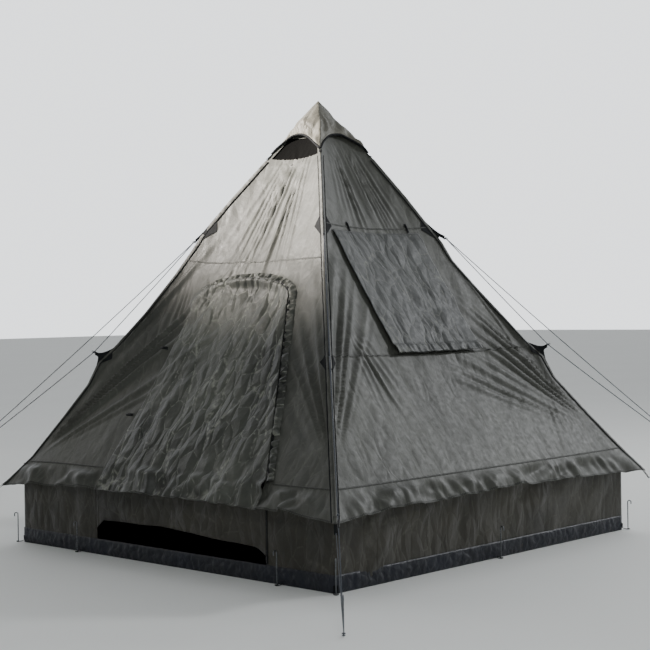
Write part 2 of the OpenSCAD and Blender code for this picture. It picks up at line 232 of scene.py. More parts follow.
def corner_turn(corner):
    return Matrix.Rotation(math.radians(90 * corner - 45), 4, "Z")


def ring_path(centre, radius, points=20):
    return [(centre[0] + radius * math.cos(t), radius * math.sin(t), centre[1])
            for t in full_turn(points)]


for corner, name in enumerate(CORNERS):
    up, low, joint, foot = [(p[0], 0, p[1])
                            for p in (upper_eye, lower_eye, meet, (peg_reach - peg_ring, 0.016))]
    bm = tube_mesh(sagging(up, joint, 0.012), rope_radius)
    join(bm, tube_mesh(sagging(up, low, 0.004), rope_radius),
         tube_mesh(sagging(low, joint, 0.007), rope_radius),
         tube_mesh(sagging(joint, foot, 0.003), rope_radius),
         tube_mesh(ring_path((peg_reach, 0.016), peg_ring), rope_radius),
         knot_mesh(joint, rope_radius, (1, 0, -1)), knot_mesh(up, rope_radius, (1, 0, -1)),
         knot_mesh(low, rope_radius, (1, 0, -1)))
    bmesh.ops.transform(bm, matrix=corner_turn(corner), verts=bm.verts)
    as_piece("rope_" + name, bm, rope_cloth, replaces=["guy_rope_" + name])

# ---- Eave cords
# Thin braided cords, 3 mm thick, from the loop at each eave corner to the peg of that corner's
# guy rope. They hold the eave down and out.
cord_radius = 0.0015
eave_eye = (1.948, 0.312)
bm = bmesh.new()
for corner in range(4):
    one = tube_mesh(sagging((eave_eye[0], 0, eave_eye[1]), (peg_reach - peg_ring, 0, 0.008), 0.004),
                    cord_radius)
    join(one, tube_mesh(ring_path((peg_reach, 0.008), peg_ring), cord_radius),
         knot_mesh((eave_eye[0], 0, eave_eye[1]), cord_radius, (1, 0, -1)))
    bmesh.ops.transform(one, matrix=corner_turn(corner), verts=one.verts)
    join(bm, one)
as_piece("cords_of_eave", bm, rope_cloth, replaces=["eave_cords"])

# ---- Ground and light
# A plain pale floor, a sky that is bright behind the tent, three soft lights, and a narrow warm
# one on the upper front of the roof.
bm = bmesh.new()
bmesh.ops.create_grid(bm, x_segments=1, y_segments=1, size=60)
floor_paint, tree = new_material("matt_floor_paint")
speckle = add_node(tree, "TexNoise", {
    "Vector": add_node(tree, "TexCoord").outputs["Object"], "Scale": 0.6}).outputs["Fac"]
tint = two_tone(tree, speckle, "#e4e5e2", "#eaebe8")
close_material(tree, {"Base Color": tint, "Roughness": 0.9})
mesh = bpy.data.meshes.new("floor")
bm.to_mesh(mesh)
bm.free()
mesh.materials.append(floor_paint)
floor = bpy.data.objects.new("floor", mesh)
bpy.context.scene.collection.objects.link(floor)

sky = bpy.data.worlds.new("sky")
sky.use_nodes = True
tree = sky.node_tree
tree.nodes.clear()
way = add_node(tree, "TexCoord").outputs["Generated"]
behind = add_node(tree, "VectorMath", {0: way, 1: (-math.sin(camera_turn), math.cos(camera_turn), 0.0)},
                  operation="DOT_PRODUCT").outputs["Value"]
glow = add_node(tree, "MapRange", {"Value": behind, "From Min": 0.2, "From Max": 0.9,
                                             "To Min": 0.24, "To Max": 2.0},
                interpolation_type="SMOOTHSTEP")
light = add_node(tree, "Background", {"Color": (0.94, 0.97, 1.0, 1), "Strength": glow.outputs[0]})
add_node(tree, "OutputWorld", {"Surface": light.outputs[0]})
bpy.context.scene.world = sky


def add_lamp(name, kind, place, aim, power, colour, **settings):
    lamp = bpy.data.objects.new(name, bpy.data.lights.new(name, kind))
    lamp.data.energy = power
    lamp.data.color = colour
    for key, value in settings.items():
        setattr(lamp.data, key, value)
    lamp.matrix_world = (Matrix.Translation(place)
                         @ (Vector(aim) - Vector(place)).to_track_quat("-Z", "Y").to_matrix().to_4x4())
    bpy.context.scene.collection.objects.link(lamp)


for name, place, aim, size, power, colour in (
        ("light_left", (-7.0, -3.4, 4.8), (0, 0, 1.2), 1.4, 30, (1.0, 0.94, 0.84)),
        ("light_right", (4.2, 7.5, 5.2), (0, 0, 1.0), 1.3, 330, (0.96, 0.98, 1.0)),
        ("light_front", (7.6, -6.4, 5.0), (0, 0, 1.0), 1.6, 200, (0.94, 0.98, 1.0))):
    add_lamp(name, "AREA", place, aim, power, colour, shape="DISK", size=size)
add_lamp("light_head", "SPOT", (-6.0, -6.0, 6.2), (-0.02, -0.35, 2.16), 24000, (1.0, 0.93, 0.86),
         spot_size=math.radians(11), spot_blend=1.0, shadow_soft_size=0.35)

# ---- Canopy
# The roof of the tent: coated polyester taffeta, four faces sewn into one skin, held up by the
# pole and pulled out at two tabs on each ridge and at the four corners of the eave.
eave_half = 1.350
eave_height = 0.336
peak_height = 2.575
pitch = math.atan2(peak_height - eave_height, eave_half)
face_length = math.hypot(peak_height - eave_height, eave_half)
ridge_pitch = math.atan2(peak_height - eave_height, eave_half * math.sqrt(2))
band_top = 0.180
eave_rise = 0.050
FRONT, RIGHT, BACK, LEFT = range(4)
# How far each ridge stands above a straight line, at distances from the pole
ridge_lines = {
    3: ((0.0, 0), (0.30, 0.030), (0.52, 0.052), (0.66, 0.055), (0.74, 0.030), (0.86, 0.006),
        (1.05, -0.006),
        (1.22, 0.010), (1.31, 0.036), (1.40, -0.018), (1.55, -0.034), (1.75, -0.044), (1.91, 0.0)),
    1: ((0.0, 0), (0.30, 0.040), (0.50, 0.034), (0.66, 0.014), (0.72, 0.010), (0.80, -0.026),
        (0.95, -0.024),
        (1.10, -0.010), (1.22, -0.004), (1.31, 0.026), (1.40, -0.024), (1.60, -0.012), (1.80, 0.014),
        (1.91, 0.040)),
}
ridge_lines[0] = ridge_lines[1]
ridge_lines[2] = ridge_lines[3]


door_left, door_right, door_arch_up = 0.480, 0.785, 1.250
arch_middle, arch_half, arch_rise = 0.035, 0.370, 0.135


def rough(points, size, seed):
    return np.array([noise.noise(Vector((p[0], p[1], 0)) / size
                                 + Vector((seed * 3.1, seed * 1.7, seed * 5.3)))
                     for p in points])


def creases(points, size, seed, warp=0.35):
    """Height of crumpled cloth, 0 to about 1: soft hollows between sharp, branching creases."""
    bent = points + size * warp * np.stack([rough(points, size * 0.8, seed + 11),
                                            rough(points, size * 0.8, seed + 23)], 1)
    return np.array([noise.ridged_multi_fractal(Vector((p[0], p[1], 0)) / size
                                                + Vector((seed * 2.3, seed * 4.1, seed)),
                                                1.0, 2.1, 2, 1.0, 1.6) for p in bent]) * 0.5


def pleats(points, size, seed, angles):
    """Height of cloth pressed flat between sharp folds that lie across these angles, 0 to about 1."""
    total = 0
    for k, angle in enumerate(angles):
        a = math.radians(angle)
        run = (points[:, 0] * math.cos(a) + points[:, 1] * math.sin(a)) / (size * (1 + 0.17 * k))
        run = run + 0.9 * rough(points, size * 2.2, seed + k)
        weight = np.clip(0.5 + 1.6 * rough(points, size * 1.5, seed + 20 + k), 0, 1)
        total = total + np.abs((run % 1) - 0.5) * 2 * weight
    return total / len(angles)


def ease(x):
    x = np.clip(x, 0, 1)
    return x * x * (3 - 2 * x)


def turned(x, y, turn):
    """A point of the ground plan turned about the pole."""
    return x * math.cos(turn) - y * math.sin(turn), x * math.sin(turn) + y * math.cos(turn)


def fan(u, up, source, aim, spread, folds, height, reach, seed, start=0.26):
    """Folds that run out from a point where the cloth is pulled, aim and spread in degrees."""
    du, dup = u - source[0], up - source[1]
    far = np.hypot(du, dup)
    turn = (np.degrees(np.arctan2(dup, du)) - aim + 180) % 360 - 180
    across = turn / spread
    wander = rough(np.stack([across * 2.2, far * 0.35], 1), 1.0, seed) * 0.34
    strength = rough(np.stack([across * folds * 0.55, far * 0.8], 1), 1.0, seed + 40)
    wave = np.sqrt(np.sin(math.pi * folds * (across + wander)) ** 2 + 0.02)
    shape = np.maximum(1 - wave, 0) ** 1.2 - 0.35
    inside = np.clip(1 - across ** 2, 0, 1) ** 0.7
    fade = ease((far - start) / 0.35) * ease((reach - far) / (0.45 * reach))
    return height * shape * inside * fade * np.clip(0.65 + 1.1 * strength, 0.05, 1.5)


# Folds on each face: source, aim, spread, number, height, reach
face_fans = {
    FRONT: (((-1.36, 0.06), 47, 17, 4, 0.040, 2.25), ((-0.52, 1.74), 292, 30, 4, 0.022, 0.80),
            ((-0.62, 1.62), 232, 16, 4, 0.020, 1.2), ((0.02, 2.66), 268, 17, 6, 0.020, 1.45),
            ((1.32, 0.13), 126, 22, 5, 0.040, 1.5), ((0.80, 1.05), 110, 30, 3, 0.012, 0.6)),
    RIGHT: (((-1.30, 0.14), 68, 23, 6, 0.040, 1.75), ((0.47, 1.80), 304, 18, 4, 0.034, 1.45),
            ((1.30, 0.18), 141, 18, 5, 0.030, 1.55), ((0.0, 2.66), 271, 18, 6, 0.020, 1.10),
            ((0.95, 0.93), 250, 40, 4, 0.012, 0.80), ((-0.66, 1.36), 283, 15, 3, 0.018, 0.9)),
    BACK: (((-1.33, 0.10), 52, 22, 6, 0.026, 2.0), ((1.33, 0.12), 128, 22, 5, 0.026, 1.9),
           ((0.0, 2.66), 270, 17, 6, 0.020, 1.4), ((0.48, 1.77), 262, 28, 4, 0.020, 1.0),
           ((-0.48, 1.77), 280, 28, 4, 0.020, 1.0)),
    LEFT: (((-1.31, 0.12), 55, 22, 6, 0.026, 1.9), ((1.34, 0.10), 130, 20, 6, 0.028, 2.0),
           ((0.0, 2.66), 270, 17, 6, 0.020, 1.4), ((0.50, 1.76), 258, 26, 4, 0.022, 1.0),
           ((-0.48, 1.78), 282, 26, 4, 0.020, 1.0)),
}


def roof(side, flat, lift=0.0, calm=1.0):
    """Where a point of the roof's skin is: flat holds its place along the eave and up the slope."""
    u, up = flat[:, 0], flat[:, 1]
    half = eave_half * (1 - up / face_length)
    share = np.clip(np.abs(u) / np.maximum(half, 1e-6), 0, 1.2)
    from_ridge = np.maximum((half - np.abs(u)) * math.cos(math.atan2(eave_half, face_length)), 0)
    high = ease((up - 0.17) / 0.5)
    out = -0.034 * np.clip(1 - share ** 2, 0, 1) * high * (1 - 0.6 * ease((up - 1.6) / 0.9))
    folds = 1.25 * sum(fan(u, up, *f, seed=7 * side + i) for i, f in enumerate(face_fans[side]))
    keyed = flat + np.array([side * 9.0, 0])
    small = 0.008 * (pleats(keyed, 0.15, 3, (10, 150, 60))
                     - 0.3) + 0.002 * (creases(keyed * np.array([1.0, 0.5]), 0.16, 5) - 0.5)
    in_band = ease((band_top - 0.012 - up) / 0.05)
    band = 0.085 * (pleats(keyed, 0.20, 8, (35, 145, 80))
                    - 0.18) + 0.030 * (pleats(keyed, 0.085, 4, (20, 70, 130)) - 0.2)
    if side == FRONT:
        zip_drift = (arch_middle + arch_half - door_right) * (up - band_top)
        zip_line = door_right + zip_drift / (door_arch_up - band_top)
        arch_end = np.hypot(u - arch_middle + arch_half, up - door_arch_up)
        from_zip = np.where(up < door_arch_up, np.minimum(np.abs(u - zip_line), arch_end), np.abs(
            np.hypot(u - arch_middle, (up - door_arch_up) * arch_half / arch_rise) - arch_half))
        firm = 1 - 0.85 * np.exp(-(from_zip / 0.07) ** 2)
        out, folds, small = out * firm, folds * firm, small * firm
    calm_ridge = ease(from_ridge / 0.06)
    above = ease((up - 0.16) / 0.10)
    out = (out + calm * calm_ridge * (above * folds + above * small
                                      + in_band * band * (0.25 + 0.75 * ease((half - np.abs(u)) / 0.30)))
           + lift)
    c, s = math.cos(pitch), math.sin(pitch)
    y, z = -eave_half + up * c - out * s, eave_height + up * s + out * c
    place = np.stack([*turned(u, y, math.radians(90 * side)), z], 1)
    for corner, here in ((side, u >= 0), ((side - 1) % 4, u < 0)):
        line = np.array(ridge_lines[corner])
        rise = np.interp(half * math.sqrt(2), line[:, 0], line[:, 1]) * math.cos(ridge_pitch)
        a = math.radians(90 * corner - 45)
        way = np.array([math.cos(a) * math.sin(ridge_pitch), math.sin(a) * math.sin(ridge_pitch),
                        math.cos(ridge_pitch)])
        place += (here * rise * np.exp(-from_ridge / 0.13))[:, None] * way
    return place


def on_line(a, b, p):
    a, b, p = Vector(a), Vector(b), Vector(p)
    t = max(0, min(1, (p - a).dot(b - a) / (b - a).length_squared))
    return (p - a.lerp(b, t)).length


def inside(outline, p):
    hit = False
    for (x0, y0), (x1, y1) in zip(outline, outline[1:] + outline[:1]):
        if (y0 > p[1]) != (y1 > p[1]) and p[0] < (x1 - x0) * (p[1] - y0) / (y1 - y0) + x0:
            hit = not hit
    return hit


def cut_out(bm, outline, near, keep=False):
    """Cuts a flat piece along an outline and takes away what is in it, or with keep, what is outside."""
    for a, b in zip(outline, outline[1:] + outline[:1]):
        faces = [f for f in bm.faces if on_line(a, b, f.calc_center_median().xy) < near]
        way = (Vector(b) - Vector(a)).normalized()
        bmesh.ops.bisect_plane(bm, geom=faces + list({e for f in faces for e in f.edges})
                               + list({v for f in faces for v in f.verts}),
                               dist=1e-6, plane_co=(*a, 0), plane_no=(-way.y, way.x, 0))
    gone = [f for f in bm.faces if inside(outline, f.calc_center_median().xy) != keep]
    bmesh.ops.delete(bm, geom=gone, context="FACES")
    bmesh.ops.remove_doubles(bm, verts=bm.verts, dist=1e-4)


def plan(side, u, up):
    """A point of one face seen from straight above, before it is stretched or folded."""
    return turned(u, -eave_half * (1 - up / face_length), math.radians(90 * side))


def side_of(x, y):
    return (FRONT if y < 0 else BACK) if abs(y) >= abs(x) else (RIGHT if x > 0 else LEFT)


def unplan(side, x, y):
    """The other way: a point seen from above, as its place along the eave and up the slope."""
    u, v = turned(x, y, -math.radians(90 * side))
    return (u, face_length * (1 + v / eave_half))


def door_line(grow, foot):
    return ([(-door_left - grow, foot), (door_right + grow, foot), (door_right + grow, band_top)]
            + [(arch_middle + (arch_half + grow) * math.cos(math.radians(a)),
                door_arch_up + (arch_rise + grow) * math.sin(math.radians(a))) for a in range(0, 181, 10)])


window_middle = (0.020, 1.3025)
window_side = 0.580


def box_line(middle, wide, high):
    return [(middle[0] + i * wide / 2, middle[1] + j * high / 2) for i,
            j in ((-1, -1), (1, -1), (1, 1), (-1, 1))]


def vent_line():
    low, high = face_length - 0.398, face_length - 0.250
    reach = [eave_half * (1 - up / face_length) - 0.025 for up in (low, high)]
    return [(-reach[0], low), (reach[0], low), (reach[1], high), (-reach[1], high)]


# Coated polyester taffeta: fine plain weave, satin, with the fine creases of a tent fresh out of its bag.
# The threads are 0.3 mm apart, too fine to show, so the weave is drawn as short slubs 4 mm apart.


def taffeta(name, light, dark, crease_depth, lie, stretch=0.35, shine=0.54, crease_wear_and_highlight_amount=0.15):
    material, tree = new_material(name)
    flat = add_node(tree, "UVMap", uv_map="flat").outputs[0]
    solid = add_node(tree, "TexCoord").outputs["Object"]
    slubs = [add_node(tree, "TexNoise", {
        "Vector": add_node(tree, "Mapping", {"Vector": flat, "Scale": scale}).outputs[0],
        "Scale": 250, "Detail": 1}).outputs["Fac"] for scale in ((1, 0.12, 1), (0.12, 1, 1))]
    weave = add_node(tree, "Math", {0: slubs[0], 1: slubs[1]}, operation="ADD").outputs[0]
    drift = add_node(tree, "TexNoise", {"Vector": flat, "Scale": 4, "Detail": 2}).outputs["Color"]
    bent = add_node(tree, "Mix", {0: 0.06, 4: flat, 5: drift}, data_type="VECTOR").outputs[1]
    lying, crossing = [add_node(tree, "Mapping", {
        "Vector": bent, "Rotation": (0, 0, math.radians(a)), "Scale": (1, k, 1)}).outputs[0]
        for a, k in ((lie, stretch), (lie + 55, 0.5))]
    coarse, fine = [add_node(tree, "TexVoronoi", {"Vector": lie_of, "Scale": size},
                             feature="DISTANCE_TO_EDGE").outputs["Distance"] for lie_of,
                    size in ((lying, 6), (crossing, 15))]
    ripple = add_node(tree, "TexNoise", {"Vector": bent, "Scale": 40, "Detail": 3}).outputs["Fac"]
    calm = add_node(tree, "TexNoise", {"Vector": solid, "Scale": 2.2, "Detail": 2}).outputs["Fac"]
    here = add_node(tree, "MapRange", {"Value": calm, "From Min": 0.35, "From Max": 0.62,
                                                 "To Min": 0.25, "To Max": 1.0}).outputs[0]
    both = add_node(tree, "Math", {0: fine, 1: 0.5, 2: coarse}, operation="MULTIPLY_ADD").outputs[0]
    local = add_node(tree, "Math", {0: both, 1: here}, operation="MULTIPLY").outputs[0]
    height = add_node(tree, "Math", {0: ripple, 1: 0.06, 2: local}, operation="MULTIPLY_ADD").outputs[0]
    patch = add_node(tree, "TexNoise",
                     {"Vector": solid, "Scale": 1.6, "Detail": 5, "Roughness": 0.62}).outputs["Fac"]
    ramp = add_node(tree, "MapRange", {"Value": patch, "From Min": 0.35, "From Max": 0.65}).outputs[0]
    base = two_tone(tree, ramp, dark, light)
    # Pale crease lines mixed into the colour: partly the whitened wear of creased coating, partly painted
    # highlight where light would catch the creases.
    lines = [add_node(tree, "MapRange", {"Value": cells, "From Min": wide, "From Max": 0.0,
                                                   "To Min": 0.0, "To Max": most}).outputs[0]
             for cells, wide, most in ((coarse, 0.030, 1.0), (fine, 0.045, 0.7))]
    line = add_node(tree, "Math", {0: lines[0], 1: lines[1]}, operation="MAXIMUM").outputs[0]
    broken = add_node(tree, "MapRange", {"Value": ripple, "From Min": 0.42, "From Max": 0.62,
                                                   "To Min": 0.0, "To Max": crease_wear_and_highlight_amount}).outputs[0]
    crease_wear_and_highlight = add_node(tree, "Math", {0: line, 1: broken}, operation="MULTIPLY").outputs[0]
    edge = add_node(tree, "Mix", {0: crease_wear_and_highlight, 6: base, 7: linear("#8f9185")}, data_type="RGBA").outputs[2]
    gloss = add_node(tree, "MapRange",
                     {"Value": ripple, "To Min": shine - 0.12, "To Max": shine + 0.16}).outputs[0]
    thread_bump = add_node(tree, "Bump", {"Height": weave, "Distance": 0.0006, "Strength": 0.5}).outputs[0]
    fold_bump = add_node(tree, "Bump", {
        "Height": height, "Distance": crease_depth, "Strength": 1.0, "Normal": thread_bump}).outputs[0]
    close_material(tree, {
        "Base Color": edge, "Roughness": gloss, "IOR": 1.5, "Sheen Weight": 0.15, "Sheen Roughness": 0.4,
        "Normal": fold_bump})
    return material


roof_taffeta = taffeta("olive_coated_polyester_taffeta", "#45463f", "#34352f", 0.012, 4, 0.18)

roof_cells = 296
bm = bmesh.new()
bmesh.ops.create_grid(bm, x_segments=roof_cells, y_segments=roof_cells, size=eave_half)
bmesh.ops.connect_verts(bm, verts=[v for v in bm.verts if abs(abs(v.co.x) - abs(v.co.y)) < 1e-5])
for v in bm.verts:
    m = max(abs(v.co.x), abs(v.co.y)) / eave_half
    if m > 0:
        share = min(abs(v.co.x), abs(v.co.y)) / eave_half / m
        v.co *= 1 - eave_rise / face_length * (1 - share ** 4) * m ** 11
for side, line in ((FRONT, door_line(0, -0.02)),
                   (RIGHT, box_line(window_middle, window_side, window_side)),
                   (FRONT, vent_line()), (BACK, vent_line())):
    cut_out(bm, [plan(side, *p) for p in line], 0.030)
keep_flat_size(bm, lambda face, co: unplan(side_of(*face.calc_center_median().xy), co.x, co.y))


def place_canopy(points):
    sides = np.array([side_of(*p) for p in points])
    out = np.zeros((len(points), 3))
    for side in range(4):
        mine = sides == side
        out[mine] = roof(side, np.array([unplan(side, *p) for p in points[mine]]))
    return out


lay(bm, place_canopy)
canopy = as_piece("canopy", bm, roof_taffeta, replaces=[
    "roof_front_top", "roof_front_head", "roof_front_left", "roof_front_right", "roof_right_top",
    "roof_right_middle", "roof_right_bottom", "roof_back_top", "roof_back_bottom", "roof_left_top",
    "roof_left_middle", "roof_left_bottom", "eave_band_front", "eave_band_right", "eave_band_back",
    "eave_band_left"])

# ---- Door flap
# The upper leaf of the door, cut from the roof's own cloth, sewn to the roof along its left edge
# and closed by the zip; the foot is its own crumpled stretch of the eave's band.
# Its pale crease lines are set strong: partly wear, partly painted highlight on the creases.
door_taffeta = taffeta("olive_coated_polyester_taffeta_creased", "#50524a", "#1e201b", 0.060, -16, 0.20,
                       crease_wear_and_highlight_amount=0.75)
flap_lap = 0.015
cloth_thick = 0.0012


def door_foot(u):
    return eave_rise * (1 - np.abs(u / eave_half) ** 4) - 0.006


def place_door(flat):
    u, up = flat[:, 0], np.maximum(flat[:, 1], door_foot(flat[:, 0]))
    left_edge = -door_left - flap_lap + (up - 0.03) * (door_left + arch_middle
                                                       - arch_half) / (door_arch_up - 0.03)
    from_left = u - left_edge
    right_edge = np.where(up < door_arch_up, door_right + flap_lap + (arch_middle + arch_half - door_right)
                          * np.maximum(up - band_top, 0) / (door_arch_up - band_top), 9)
    arch = 1 - np.hypot((u - arch_middle) / (arch_half + flap_lap),
                        np.maximum(up - door_arch_up, 0) / (arch_rise + flap_lap))
    held = ease(np.minimum(right_edge - u, np.where(up > door_arch_up, arch * arch_rise, 9)) / 0.06)
    hug = ease(from_left / 0.10)
    slant = np.stack([u * 0.97 - up * 0.24, u * 0.24 + up * 0.97], 1)
    own = (0.026 * (pleats(slant, 0.22, 31, (2, 165, 28)) - 0.25)
           + 0.008 * (creases(slant * np.array([1.0, 0.25]), 0.12, 33) - 0.5)
           + 0.010 * (pleats(flat, 0.09, 34, (30, 110, 155)) - 0.25))
    sweep = 0.010 * rough(slant * np.array([1.0, 0.12]), 0.12, 36)
    in_foot = ease((band_top + 0.03 - up) / 0.06)
    foot = 0.085 * (pleats(flat, 0.19, 38, (40, 140, 85))
                    - 0.18) + 0.036 * (pleats(flat, 0.080, 39, (20, 75, 135)) - 0.2)
    bulge = 0.024 * np.sin(math.pi * np.clip(from_left / 1.0, 0, 1))
    bulge = bulge * np.sin(math.pi * np.clip(up / 1.35, 0, 1))
    base = roof(FRONT, np.stack([u, up], 1), 0.0055, 0.35)
    out = hug * ((1 - in_foot) * held * (own + sweep) + in_foot * foot + bulge * held + 0.004)
    way = np.array([0, -math.sin(pitch), math.cos(pitch)])
    return base + out[:, None] * way


bm = cloth_grid(-door_left - 0.03, door_right + 0.03, 0.0, 1.42, 0.0090)
cut_out(bm, door_line(flap_lap, 0.0), 0.030, keep=True)
keep_flat_size(bm)
lay(bm, place_door)
door_leaf = as_piece("door_leaf", bm, door_taffeta, body=None, thick=cloth_thick,
                     replaces=["door_flap"])
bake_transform(door_leaf)

# ---- Window flap
# A storm flap over the window, sewn to the roof along its upper edge and left hanging, with a
# puckered hem at its foot.
window_taffeta = taffeta("grey_coated_polyester_taffeta_creased", "#414341", "#292b2a", 0.030, 26, 0.25,
                         crease_wear_and_highlight_amount=0.4)
flap_top, flap_foot, flap_half = 1.700, 0.905, 0.370


def place_window(flat):
    u, up = flat[:, 0], flat[:, 1]
    down = np.clip((flap_top - up) / (flap_top - flap_foot), 0, 1)
    side = u / flap_half
    slant = np.stack([u * 0.86 + up * 0.50, -u * 0.50 + up * 0.86], 1)
    own = 0.030 * (pleats(slant, 0.19, 51, (0, 170, 35)) - 0.25) * (0.35 + 0.65 * ease((side + 0.5) / 1.2))
    own = own + 0.007 * (creases(slant * np.array([1.0, 0.4]), 0.12, 53) - 0.45)
    in_hem = ease((flap_foot + 0.056 - up) / 0.009)
    hem = in_hem * (0.009 + 0.008 * rough(flat * np.array([1, 0.45]), 0.030, 57))
    hang = 0.005 * down ** 1.5 + 0.003 * down * ease(-side)
    moved = np.stack([window_middle[0] - 0.012 + u + 0.066 * (down - 0.5),
                      up + 0.010 * rough(flat, 0.3, 58) * down], 1)
    base = roof(RIGHT, moved, 0.0055, 0.4)
    out = np.maximum(ease(down / 0.08) * (own * 0.75 * (1 - 0.6 * in_hem) + 0.007) + hem + hang,
                     0.004 * ease(down / 0.03))
    return base + out[:, None] * np.array([math.sin(pitch), 0, math.cos(pitch)])


bm = cloth_grid(-flap_half, flap_half, flap_foot, flap_top, 0.0085)
keep_flat_size(bm)
lay(bm, place_window)
window_leaf = as_piece("window_leaf", bm, window_taffeta, body=None, thick=cloth_thick,
                       replaces=["window_flap"])
sewn = Vector(roof(RIGHT, np.array([[window_middle[0], flap_top]]), 0.006)[0])
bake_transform(window_leaf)

# ---- Walls
# A low skirt of darker cloth between the roof and the floor, one strip round the tent from one
# side of the door to the other.
wall_taffeta = taffeta("dark_olive_coated_polyester_taffeta", "#38352b", "#23211a", 0.026, 40, 0.3)
wall_half = 1.2585
wall_foot, wall_top = 0.012, 0.468
door_post, zip_post = -0.562, 0.792


def round_walls(run):
    """Distance along the walls from the right of the door, as a place and the way that it faces."""
    legs = (((zip_post, -wall_half), (wall_half, -wall_half)),
            ((wall_half, -wall_half), (wall_half, wall_half)),
            ((wall_half, wall_half), (-wall_half, wall_half)),
            ((-wall_half, wall_half), (-wall_half, -wall_half)),
            ((-wall_half, -wall_half), (door_post, -wall_half)))
    for a, b in legs:
        a, b = Vector(a), Vector(b)
        if run <= (b - a).length + 1e-9 or (a, b) == (Vector(legs[-1][0]), Vector(legs[-1][1])):
            way = (b - a).normalized()
            return a + way * run, Vector((way.y, -way.x)), min(run, (b - a).length - run)
        run -= (b - a).length


wall_run = (wall_half - zip_post) + 3 * 2 * wall_half + (door_post + wall_half)


def place_walls(flat):
    u, z = flat[:, 0], flat[:, 1]
    slant = np.stack([u * 0.75 - z * 0.66, u * 0.66 + z * 0.75], 1)
    own = 0.070 * (pleats(slant, 0.24, 71, (0, 160, 40))
                   - 0.25) + 0.012 * (creases(slant * np.array([1, 0.4]), 0.16, 73) - 0.5)
    foot = (z - wall_foot) / (wall_top - wall_foot)
    own = own * np.sin(math.pi * np.clip(foot - 0.06, 0, 1))
    place = []
    for i in range(len(flat)):
        at, out, from_corner = round_walls(u[i])
        push = own[i] * 0.6 * min(1, max(0, from_corner) / 0.08)
        place.append((at.x + out.x * push, at.y + out.y * push, z[i]))
    return np.array(place)


bm = cloth_grid(0, wall_run, wall_foot, wall_top, 0.014)
keep_flat_size(bm)
lay(bm, place_walls)
walls = as_piece("walls", bm, wall_taffeta, thick=cloth_thick, replaces=[
    "wall_front_left", "wall_front_right", "wall_right", "wall_back", "wall_left"])

# ---- Lower door panel
# The lower leaf of the door, in the wall: sewn to the wall at its left, zipped at its right, and
# hanging clear of the floor.


def place_panel(flat):
    u, v = flat[:, 0], flat[:, 1]
    share = (u - door_post) / (zip_post - door_post)
    foot = np.interp(share, (0, 0.05, 0.4, 0.65, 0.93, 1), (0.150, 0.196, 0.205, 0.188, 0.165, 0.130))
    z = foot + v * (wall_top - 0.002 - foot)
    slant = np.stack([u * 0.6 - z * 0.8, u * 0.8 + z * 0.6], 1)
    own = 0.055 * (pleats(slant, 0.26, 81, (0, 155, 35))
                   - 0.25) + 0.018 * (creases(slant * np.array([1, 0.4]), 0.14, 83) - 0.5)
    own = own + 0.030 * np.exp(-(v / 0.25) ** 2) * rough(flat, 0.25, 85)
    ends = ease(share / 0.06) * ease((1 - share) / 0.04) * (1 - 0.8 * ease((v - 0.75) / 0.25))
    return np.stack([u, -wall_half - own * 0.6 * ends, z], 1)


bm = cloth_grid(door_post, zip_post, 0, 1, 0.0115, 0.034)
keep_flat_size(bm, lambda face, co: (co.x, co.y * 0.34))
lay(bm, place_panel)
panel = as_piece("door_lower_leaf", bm, wall_taffeta, body=None, thick=cloth_thick,
                 replaces=["door_panel"])
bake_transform(panel)

# ---- Groundsheet
# Woven polyethylene laid on the ground, turned up 85 mm round its edge and sewn to the walls.
# Shiny, dark navy, and crinkled where it turns up.
tarpaulin, tree = new_material("dark_woven_polyethylene_tarpaulin")
flat = add_node(tree, "UVMap", uv_map="flat").outputs[0]
solid = add_node(tree, "TexCoord").outputs["Object"]
warp = add_node(tree, "TexWave", {"Vector": flat, "Scale": wave_period / 0.004}, bands_direction="X")
weft = add_node(tree, "TexWave", {"Vector": flat, "Scale": wave_period / 0.004}, bands_direction="Y")
weave = add_node(tree, "Math", {0: warp.outputs["Fac"], 1: weft.outputs["Fac"]}, operation="ADD")
crinkle = add_node(tree, "TexVoronoi", {"Vector": solid, "Scale": 24}, feature="DISTANCE_TO_EDGE")
dust = add_node(tree, "TexNoise", {"Vector": solid, "Scale": 6, "Detail": 5})
tint = two_tone(tree, dust.outputs["Fac"], "#06080e", "#141a2a")
thread_bump = add_node(tree, "Bump", {"Height": weave.outputs[0], "Distance": 0.0004, "Strength": 0.5})
fold_bump = add_node(tree, "Bump", {"Height": crinkle.outputs["Distance"], "Distance": 0.006,
                                              "Normal": thread_bump.outputs[0]})
close_material(tree, {
    "Base Color": tint, "Roughness": 0.42, "Normal": fold_bump.outputs[0]})

sheet_half = 1.2605
sheet_thick = 0.0006
bm = cloth_grid(-sheet_half, sheet_half, -sheet_half, sheet_half, 0.03)
keep_flat_size(bm)
lay(bm, lambda p: np.stack([p[:, 0], p[:, 1], 0.0035 + 0.0022 * rough(p, 0.2, 91)], 1))
floor_sheet = as_piece("floor_sheet", bm, tarpaulin, thick=sheet_thick,
                       replaces=["groundsheet"])

# The strip that turns up stands a little outside the walls, all round them.
edge_half = wall_half
edge_gap = 0.0020
edge_foot, edge_top = 0.0012, 0.088


def place_edge(flat):
    place = []
    own = 0.016 * (creases(flat, 0.055, 95) - 0.2)
    for (run, z), out in zip(flat, own):
        leg = int(min(run // (2 * edge_half), 3))
        t = run - leg * 2 * edge_half - edge_half
        share = (z - 0.004) / 0.084
        push = out * math.sin(math.pi * min(share * 0.96 + 0.03, 1)) * min(1, (edge_half - abs(t)) / 0.03)
        place.append((*turned(t, -edge_half - edge_gap - push, math.radians(90 * leg)), z))
    return np.array(place)


bm = cloth_grid(0, 8 * edge_half, edge_foot, edge_top, 0.0105)
keep_flat_size(bm)
lay(bm, place_edge)
bmesh.ops.remove_doubles(bm, verts=bm.verts, dist=0.0005)
floor_edge = as_piece("floor_sheet_edge", bm, tarpaulin, thick=sheet_thick,
                      replaces=["groundsheet_edge"])

